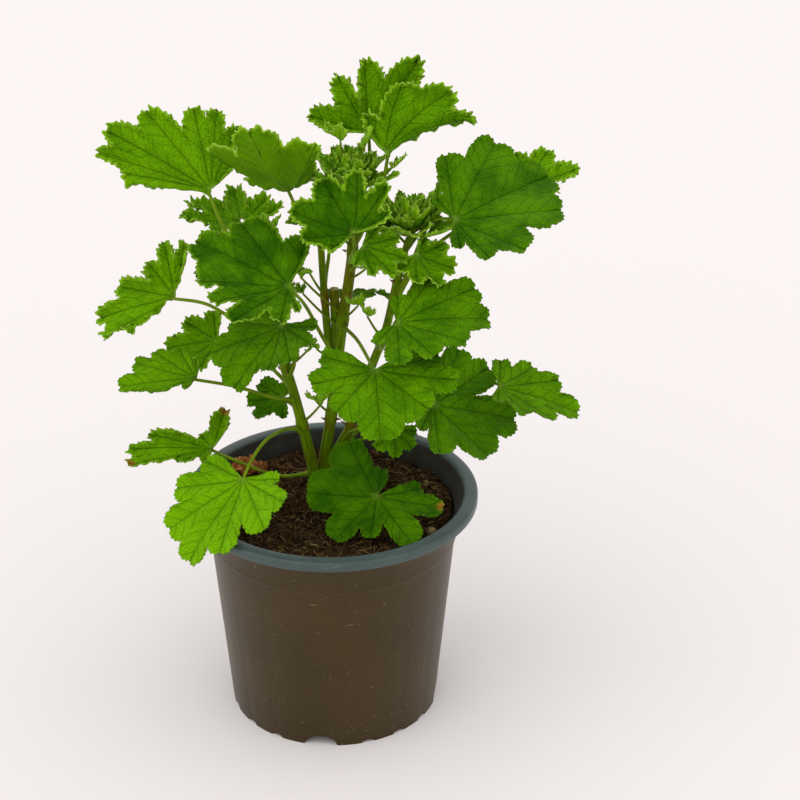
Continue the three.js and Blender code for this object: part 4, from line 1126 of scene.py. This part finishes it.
for stem, height, tip, length in SIDE_SHOOTS:
    foot = stem_point(stem, height)
    tip = Vector(tip)
    bow = (foot + tip) / 2 + Vector((tip.x - foot.x, tip.y - foot.y, 0)) * 0.04
    path = smooth_path([foot, bow, tip], 1.2)
    share = np.linspace(0, 1, len(path))
    grow_tube(bm, path, 0.65 - 0.2 * share, 8, STALK)
    toward = math.degrees(math.atan2(tip.y - foot.y, tip.x - foot.x)) + draw.uniform(-35, 35)
    rise = draw.uniform(15, 70)
    grow_blade(bm, young_blade(draw, tip, rise, toward, length, draw.uniform(18, 48)))
planted(bm, "side-shoots", None, YOUNG_MATERIALS)


# The stems: four green shoots and the old one that was cut off flat, with swollen joints and
# small brown scales. The left, centre and right ones grow from one crown in the peat, and the
# back one and the old one from the centre one.
JOINTS = [
    ("left", 131, 1.22),
    ("left", 160, 1.2),
    ("left", 184, 1.2),
    ("centre", 133, 1.15),
    ("centre", 180, 1.22),
    ("centre", 214, 1.2),
    ("back", 190, 1.2),
    ("right", 130, 1.2),
    ("right", 172, 1.2),
    ("right", 203, 1.2),
]
stem_skin = stalk_material(
    "stem skin", paint(74, 106, 0), paint(110, 140, 4), paint(116, 78, 10), 0.75
)


def dry_wood(name, dark, light, grain, roughness):
    """A dry skin or cut face, speckled in two browns."""
    material, tree, shader = new_material(name, Roughness=roughness)
    colour = blend(tree, speckle(tree, piece_place(tree), grain), dark, light)
    tree.links.new(colour, shader.inputs["Base Color"])
    return material


scale_skin = dry_wood("stem scale", paint(78, 54, 22), paint(140, 110, 56), 500, 0.8)
cut_wood = dry_wood("cut wood", paint(120, 96, 52), paint(196, 178, 120), 700, 0.75)


def stem_radii(name, path):
    """The radius at each point of a stem, swollen at its joints."""
    points = np.array(STEMS[name])
    radii = np.interp(path[:, 2], points[:, 2], points[:, 3])
    for stem, height, swell in JOINTS:
        if stem == name:
            off = np.abs(path[:, 2] - height) / 3.6
            radii = radii * (1 + (swell - 1) * np.clip(1 - off**2, 0, 1))
            radii = radii * (1 - 0.07 * np.exp(-(((path[:, 2] - height) / 0.5) ** 2)))
    return 0.84 * radii


CROWN = (-7, 17)
CROWN_RADIUS = 5.5
CROWN_RINGS = 16
OLD_STEM_RADIUS = 2.1
SCALES_AT_JOINT = 3
SKIN, SCALE, CUT = range(3)

bm = plant_mesh()
for name, path in stem_lines.items():
    grow_tube(bm, path, stem_radii(name, path), 20, SKIN)
crown = np.array([(*CROWN, z) for z in np.linspace(82.4, 102, CROWN_RINGS)])
narrowing = 1 - 0.25 * np.linspace(0, 1, CROWN_RINGS) ** 2
grow_tube(bm, crown, CROWN_RADIUS * narrowing, 24, SKIN)
old_stem = smooth_path([(2.6, 18.6, 162), (1.9, 20, 177), (1.4, 21, 194)], 1.0)
grow_tube(bm, old_stem, np.full(len(old_stem), OLD_STEM_RADIUS), 20, SKIN)
cut_face = np.array([(1.4, 21, 193.8), (1.4, 21, 194.4)])
grow_tube(bm, cut_face, np.array([2.0, 1.9]), 20, CUT)
draw = random.Random(7)
for stem, height, _ in JOINTS:
    points = np.array(STEMS[stem])
    radius = float(np.interp(height, points[:, 2], points[:, 3]))
    for side in range(SCALES_AT_JOINT):
        foot = stem_point(stem, height - 0.6)
        turn = math.radians(side * 120 + height * 7)
        out = Vector((math.cos(turn), math.sin(turn), 0))
        base = foot + out * radius * 1.05
        tip = base + out * draw.uniform(1.2, 2.4) + Vector((0, 0, draw.uniform(0.6, 2.6)))
        path = smooth_path([base, (base + tip) / 2 + out * 0.4, tip], 0.6)
        grow_tube(bm, path, np.linspace(0.75, 0.12, len(path)), 5, SCALE)
planted(bm, "stem-group", "stems", [stem_skin, scale_skin, cut_wood])


# The pot: one moulded piece of thin plastic, brown outside and blue-green within and on its
# turned-down lip, with a scalloped foot and drain holes. It stands on the floor.
def marked_plastic(name, colours, dust, dust_colour, roughness, shine, inner_wall_shade):
    """Moulded plastic with soft mottling, pale dust, fine scratches and small dents, and painted shade
    on the inside wall below the lip.
    """
    material, tree, shader = new_material(
        name, Roughness=roughness, Specular_IOR_Level=0.45, Specular_Tint=shine
    )
    place = piece_place(tree)
    cloud = ramp(tree, speckle(tree, place, 26), 0.3, 0.7)
    colour = blend(tree, cloud, colours[0], colours[1])
    grains = ramp(tree, speckle(tree, place, 900, 2.0), 0.66, 0.74)
    patches = ramp(tree, speckle(tree, place, 40), 0.45, 0.65)
    colour = blend(tree, sums(tree, "MULTIPLY", grains, patches), colour, dust_colour)
    lines = add(tree, "Mapping", place)
    lines.inputs["Rotation"].default_value = (0.4, 0.7, 0.5)
    lines.inputs["Scale"].default_value = (40, 900, 900)
    scratches = ramp(tree, speckle(tree, lines.outputs[0], 1.0, 1.0), 0.73, 0.77)
    scratches = sums(tree, "MULTIPLY", scratches, dust)
    colour = blend(tree, scratches, colour, dust_colour)
    parts = add(tree, "SeparateXYZ", place).outputs
    square = sums(tree, "MULTIPLY", parts["Y"], parts["Y"])
    across = sums(tree, "SQRT", sums(tree, "MULTIPLY_ADD", parts["X"], parts["X"], square))
    # Painted shade: the inside wall below the lip's round top is darkened to a dark brown, a little
    # unevenly, and made rougher there.
    within = ramp(tree, across, 0.0586, 0.0594, inner_wall_shade, 0.0)
    wall_shade = ramp(tree, speckle(tree, place, 130), 0.3, 0.55, 0.8, 1.0)
    wall_shade = sums(tree, "MULTIPLY", ramp(tree, parts["Z"], 0.1044, 0.1057, 1.0, 0.1), wall_shade)
    wall_shade = sums(tree, "MULTIPLY", wall_shade, within)
    colour = blend(tree, wall_shade, colour, paint(38, 27, 14))
    tree.links.new(colour, shader.inputs["Base Color"])
    worn = sums(tree, "MULTIPLY_ADD", grains, 0.3, roughness)
    worn = sums(tree, "MULTIPLY_ADD", wall_shade, 0.5, worn)
    tree.links.new(worn, shader.inputs["Roughness"])
    dents = sums(tree, "ADD", speckle(tree, place, 500), speckle(tree, place, 90))
    bump(tree, shader, dents, 0.0001)
    return material


brown_plastic = marked_plastic(
    "brown plastic",
    (paint(43, 30, 8), paint(52, 38, 14)),
    dust=0.5,
    dust_colour=paint(120, 108, 86),
    roughness=0.4,
    shine=(1.0, 0.82, 0.5, 1),
    inner_wall_shade=0.0,
)
teal_plastic = marked_plastic(
    "blue-green plastic",
    (paint(54, 70, 68), paint(68, 87, 85)),
    dust=0.35,
    dust_colour=paint(116, 116, 100),
    roughness=0.42,
    shine=(1, 1, 1, 1),
    # Painted shade on the inside wall below the lip.
    inner_wall_shade=0.9,
)

# The pot's section: radius and height in mm, from under the floor, up the outside, over the
# lip and down the inside to the floor's upper face.
POT_SECTION = [
    (43, 6),
    (43, 0),
    (47.3, 0),
    (47.35, 0.5),
    (54.9, 83.5),
    (55.04, 84.5),
    (55.3, 84.9),
    (55.68, 85.3),
    (55.72, 86),
    (56.87, 98),
    (60.3, 104.2),
    (63.3, 104.2),
    (63.6, 101.8),
    (63.9, 101.6),
    (64.8, 101.6),
    (65, 101.9),
    (65, 104.8),
    (64.85, 105.3),
    (64.4, 105.7),
    (63.2, 106),
    (61.5, 106.05),
    (59.9, 106),
    (59.2, 105.7),
    (58.9, 105.2),
    (54.87, 98),
    (46.58, 7.4),
]
POT_STEPS = 480
FOOT_RADIUS = 47.3
ARCHES = [-96.5 + 90 * i for i in range(4)]
NICKS = [arch + after for arch in ARCHES for after in (26, 45, 64)]
ARCH_WIDTH, ARCH_HEIGHT = 14.5, 4.9
NICK_WIDTH, NICK_HEIGHT = 5.5, 1.4
FLOOR_FACES = ((6, 43), (7.4, 46.58))
DRAIN_HOLES = [math.radians(45 * i) for i in range(8)]
DRAIN_CIRCLE = 28
DRAIN_RADIUS = 4
DRAIN_SIDES = 32
BROWN, TEAL = range(2)


def wall_radius(height):
    """The radius of the pot's plain outer wall at a height, both in mm."""
    return FOOT_RADIUS + 9.7 * height / 106


bm = bmesh.new()
ring = [bm.verts.new((0, -r * MM, z * MM)) for r, z in POT_SECTION]
section = [bm.edges.new(pair) for pair in zip(ring, ring[1:])]
bmesh.ops.spin(
    bm,
    geom=ring + section,
    cent=(0, 0, 0),
    axis=(0, 0, 1),
    angle=2 * math.pi,
    steps=POT_STEPS,
    use_merge=True,
)
for face in bm.faces:
    middle = face.calc_center_median()
    radius = math.hypot(middle.x, middle.y)
    wall = wall_radius(middle.z / MM) * MM
    inner = middle.z > 0.0066 and radius < wall - 0.0007
    face.material_index = TEAL if middle.z > 0.0985 or inner else BROWN
for corner in bm.verts:
    if corner.co.z < 0.0006:
        angle = math.degrees(math.atan2(corner.co.y, corner.co.x))
        for middles, width, height in (
            (ARCHES, ARCH_WIDTH, ARCH_HEIGHT),
            (NICKS, NICK_WIDTH, NICK_HEIGHT),
        ):
            for middle in middles:
                off = (angle - middle + 180) % 360 - 180
                along = math.radians(off) * FOOT_RADIUS / (width / 2)
                if abs(along) < 1:
                    corner.co.z += height * MM * math.sqrt(1 - along**2)

# The two faces of the floor are filled round the rims of the drain holes, and each hole is
# given its wall.
drain_rims = {}
for level, loop_radius in FLOOR_FACES:
    rims = [
        edge
        for edge in bm.edges
        if all(
            abs(v.co.z - level * MM) < 1e-5
            and abs(math.hypot(v.co.x, v.co.y) - loop_radius * MM) < 1e-4
            for v in edge.verts
        )
        and len(edge.link_faces) == 1
    ]
    for turn in DRAIN_HOLES:
        made = bmesh.ops.create_circle(bm, segments=DRAIN_SIDES, radius=DRAIN_RADIUS * MM)
        by_angle = sorted(made["verts"], key=lambda corner: math.atan2(corner.co.y, corner.co.x))
        drain_rims[level, turn] = by_angle
        out = DRAIN_CIRCLE * MM
        for corner in made["verts"]:
            corner.co += Vector((out * math.cos(turn), out * math.sin(turn), level * MM))
        rims += dict.fromkeys(edge for corner in made["verts"] for edge in corner.link_edges)
    filled = bmesh.ops.triangle_fill(bm, edges=rims, use_beauty=True, use_dissolve=False)
    for item in filled["geom"]:
        if isinstance(item, bmesh.types.BMFace):
            item.material_index = BROWN if level == FLOOR_FACES[0][0] else TEAL
for turn in DRAIN_HOLES:
    below, above = (drain_rims[level, turn] for level, _ in FLOOR_FACES)
    for i in range(DRAIN_SIDES):
        bm.faces.new((below[i - 1], below[i], above[i], above[i - 1]))
bmesh.ops.recalc_face_normals(bm, faces=bm.faces)
for face in bm.faces:
    face.smooth = True
for edge in bm.edges:
    if len(edge.link_faces) == 2 and edge.calc_face_angle() > math.radians(35):
        edge.smooth = False
pot = finished(bm, "nursery-pot", [brown_plastic, teal_plastic])
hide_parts("pot")
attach(pot, "root")


# The root ball: dark peat with pale fibres and crumbs. It fills the pot to about 9 mm below
# the lip, heaped round the crown.
def from_crown(x, y):
    """How far a place is from the middle of the crown, in mm."""
    return math.hypot(x - CROWN[0], y - CROWN[1])


def soil_height(x, y):
    """The level of the peat, in mm."""
    heap = 2.5 * math.exp(-((from_crown(x, y) / 18) ** 2))
    rough = math.sin(0.31 * x + 1.2) * math.cos(0.27 * y) + 0.6 * math.sin(0.17 * x - 0.4 * y)
    return 97 + heap + 0.9 * rough


def earthy(name, dark, light, grain):
    """A dull crumbly stuff in two browns."""
    material, tree, shader = new_material(name, Roughness=0.95, Specular_IOR_Level=0.15)
    place = piece_place(tree)
    mottle = ramp(tree, speckle(tree, place, grain, 6.0, 0.7), 0.38, 0.66)
    tree.links.new(blend(tree, mottle, dark, light), shader.inputs["Base Color"])
    bump(tree, shader, speckle(tree, place, grain * 1.6, 6.0, 0.7), 0.0012)
    return material


peat = earthy("peat", paint(28, 17, 7), paint(88, 62, 30), 420)
crumb_dark = earthy("peat crumb", paint(36, 23, 10), paint(100, 72, 38), 700)
fibre_pale = earthy("peat fibre", paint(112, 84, 44), paint(190, 160, 104), 300)
PEAT_RADIUS = 54.3
PEAT_TOP = 0.93
PEAT_BOTTOM = 8
WALL_GAP = 1.9
CRUMBS = 1500
FIBRES = 620
FIBRE_CLEARANCE = 8
CRUMB, FIBRE = 1, 2

bm = bmesh.new()
made = bmesh.ops.create_grid(bm, x_segments=240, y_segments=60, size=1.0)
for corner in made["verts"]:
    turn = (corner.co.x + 1) * math.pi
    out = (corner.co.y + 1) / 2
    level = 1.0
    if out > PEAT_TOP:
        level = 1 - (out - PEAT_TOP) / 0.07
        out = PEAT_TOP
    radius = PEAT_RADIUS * (out / PEAT_TOP)
    x, y = radius * math.cos(turn), radius * math.sin(turn)
    z = soil_height(x, y)
    if level < 1:
        z = PEAT_BOTTOM + (z - PEAT_BOTTOM) * level
        shrink = (wall_radius(z) - WALL_GAP) / PEAT_RADIUS
        x, y = x * shrink, y * shrink
    else:
        place = Vector((x, y, 3.0))
        z += 1.5 * noise.noise(place * 0.16) + 0.9 * noise.noise(place * 0.45)
        z += 0.6 * noise.noise(place * 1.1) - 0.3
    corner.co = (x * MM, y * MM, z * MM)
bmesh.ops.remove_doubles(bm, verts=bm.verts, dist=1e-6)
bmesh.ops.holes_fill(bm, edges=[edge for edge in bm.edges if len(edge.link_faces) == 1], sides=0)
draw = random.Random(11)
for i in range(CRUMBS):
    radius = 53.5 * math.sqrt(draw.random())
    turn = draw.uniform(0, 2 * math.pi)
    x, y = radius * math.cos(turn), radius * math.sin(turn)
    if from_crown(x, y) < CROWN_RADIUS:
        continue
    size = draw.uniform(0.35, 1.5) * (1.5 if draw.random() < 0.06 else 1)
    made = bmesh.ops.create_icosphere(bm, subdivisions=1, radius=size * MM)
    squash = Vector([draw.uniform(0.6, 1.3) for k in range(3)])
    lift = Vector((x, y, soil_height(x, y) + draw.uniform(-0.3, 0.9))) * MM
    for corner in made["verts"]:
        jag = draw.uniform(0.75, 1.25)
        corner.co = Vector([c * s * jag for c, s in zip(corner.co, squash)]) + lift
        for face in corner.link_faces:
            face.material_index = CRUMB
fibre_corners = []
for i in range(FIBRES):
    radius = 51 * math.sqrt(draw.random())
    turn = draw.uniform(0, 2 * math.pi)
    x, y = radius * math.cos(turn), radius * math.sin(turn)
    if from_crown(x, y) < FIBRE_CLEARANCE:
        continue
    heading = draw.uniform(0, math.pi)
    length = draw.uniform(1.5, 5)
    bow = draw.uniform(-1, 1)
    made = bmesh.ops.create_grid(bm, x_segments=3, y_segments=5, size=1.0)
    thickness = draw.uniform(0.1, 0.22)
    fibre_corners += made["verts"]
    for corner in made["verts"]:
        step = corner.co.y
        width = thickness * (1 - step**4)
        around = (corner.co.x + 1) * math.pi
        px = x + math.cos(heading) * step * length - math.sin(heading) * bow * step * step
        py = y + math.sin(heading) * step * length + math.cos(heading) * bow * step * step
        pz = soil_height(x, y) + 0.9 + 0.5 * math.sin(3 * step + i)
        px -= math.sin(heading) * width * math.cos(around)
        py += math.cos(heading) * width * math.cos(around)
        corner.co = Vector((px, py, pz + width * math.sin(around))) * MM
        for face in corner.link_faces:
            face.material_index = FIBRE
bmesh.ops.remove_doubles(bm, verts=fibre_corners, dist=1e-7)
bmesh.ops.recalc_face_normals(bm, faces=bm.faces)
for face in bm.faces:
    face.smooth = face.material_index != CRUMB
root_ball = finished(bm, "peat", [peat, crumb_dark, fibre_pale])
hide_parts("soil")
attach(root_ball, "root")


# Litter on the peat: a curled dead leaf, a dry stalk and a slow-feed pellet, all lying loose.
dead_skin = earthy("dead leaf", paint(150, 84, 36), paint(218, 150, 88), 260)
dry_skin = earthy("dry stalk", paint(72, 44, 26), paint(128, 88, 54), 400)
SCRAPS = 9
bm = plant_mesh()
x, y = -40, 27
heap = soil_height(x, y) + 1.8
draw = random.Random(3)
for i in range(SCRAPS):
    step = i % 5
    blade = {
        "at": (x - 4.2 + 2.4 * step, y - 3 + 0.8 * step, heap + 2.6 - 0.9 * step),
        "lean": draw.uniform(10, 60),
        "toward": NEXT_LEAF_TURN * i + 180,
        "turn": 180,
        "lobes": [[angle, 5.6 * draw.uniform(0.7, 1.1)] for angle in (-70, -25, 20, 65)],
        "fold": 30,
        "arch": 80,
        "dish": 0.35,
        "crisp": 2.2,
        "teeth": 0.45,
        "quilt": 0.8,
    }
    grow_blade(bm, blade)
planted(bm, "dead-leaf", "dead_leaf", [dead_skin] * 3)

bm = plant_mesh()
dry = [(px, py, soil_height(px, py) + 1.4) for px, py in ((-30, 33), (-18, 31), (-9, 27))]
path = smooth_path(dry, 0.8)
grow_tube(bm, path, 0.6 + 0.08 * np.sin(np.arange(len(path)) * 1.3), 8, 0)
planted(bm, "dry-stalk", "dead_stalk", [dry_skin])

pellet_skin = earthy("feed pellet", paint(132, 112, 70), paint(186, 166, 112), 900)
PELLET_RADIUS = 2
bm = bmesh.new()
made = bmesh.ops.create_icosphere(bm, subdivisions=4, radius=PELLET_RADIUS * MM)
x, y = 44, -27
place = Vector((x, y, soil_height(x, y) + 2.5)) * MM
for corner in made["verts"]:
    corner.co = corner.co * (1 + 0.03 * noise.noise(corner.co * 1500)) + place
for face in bm.faces:
    face.smooth = True
pellet = finished(bm, "feed-pellet", [pellet_skin])
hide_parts("feed_pellet")
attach(pellet, "root")
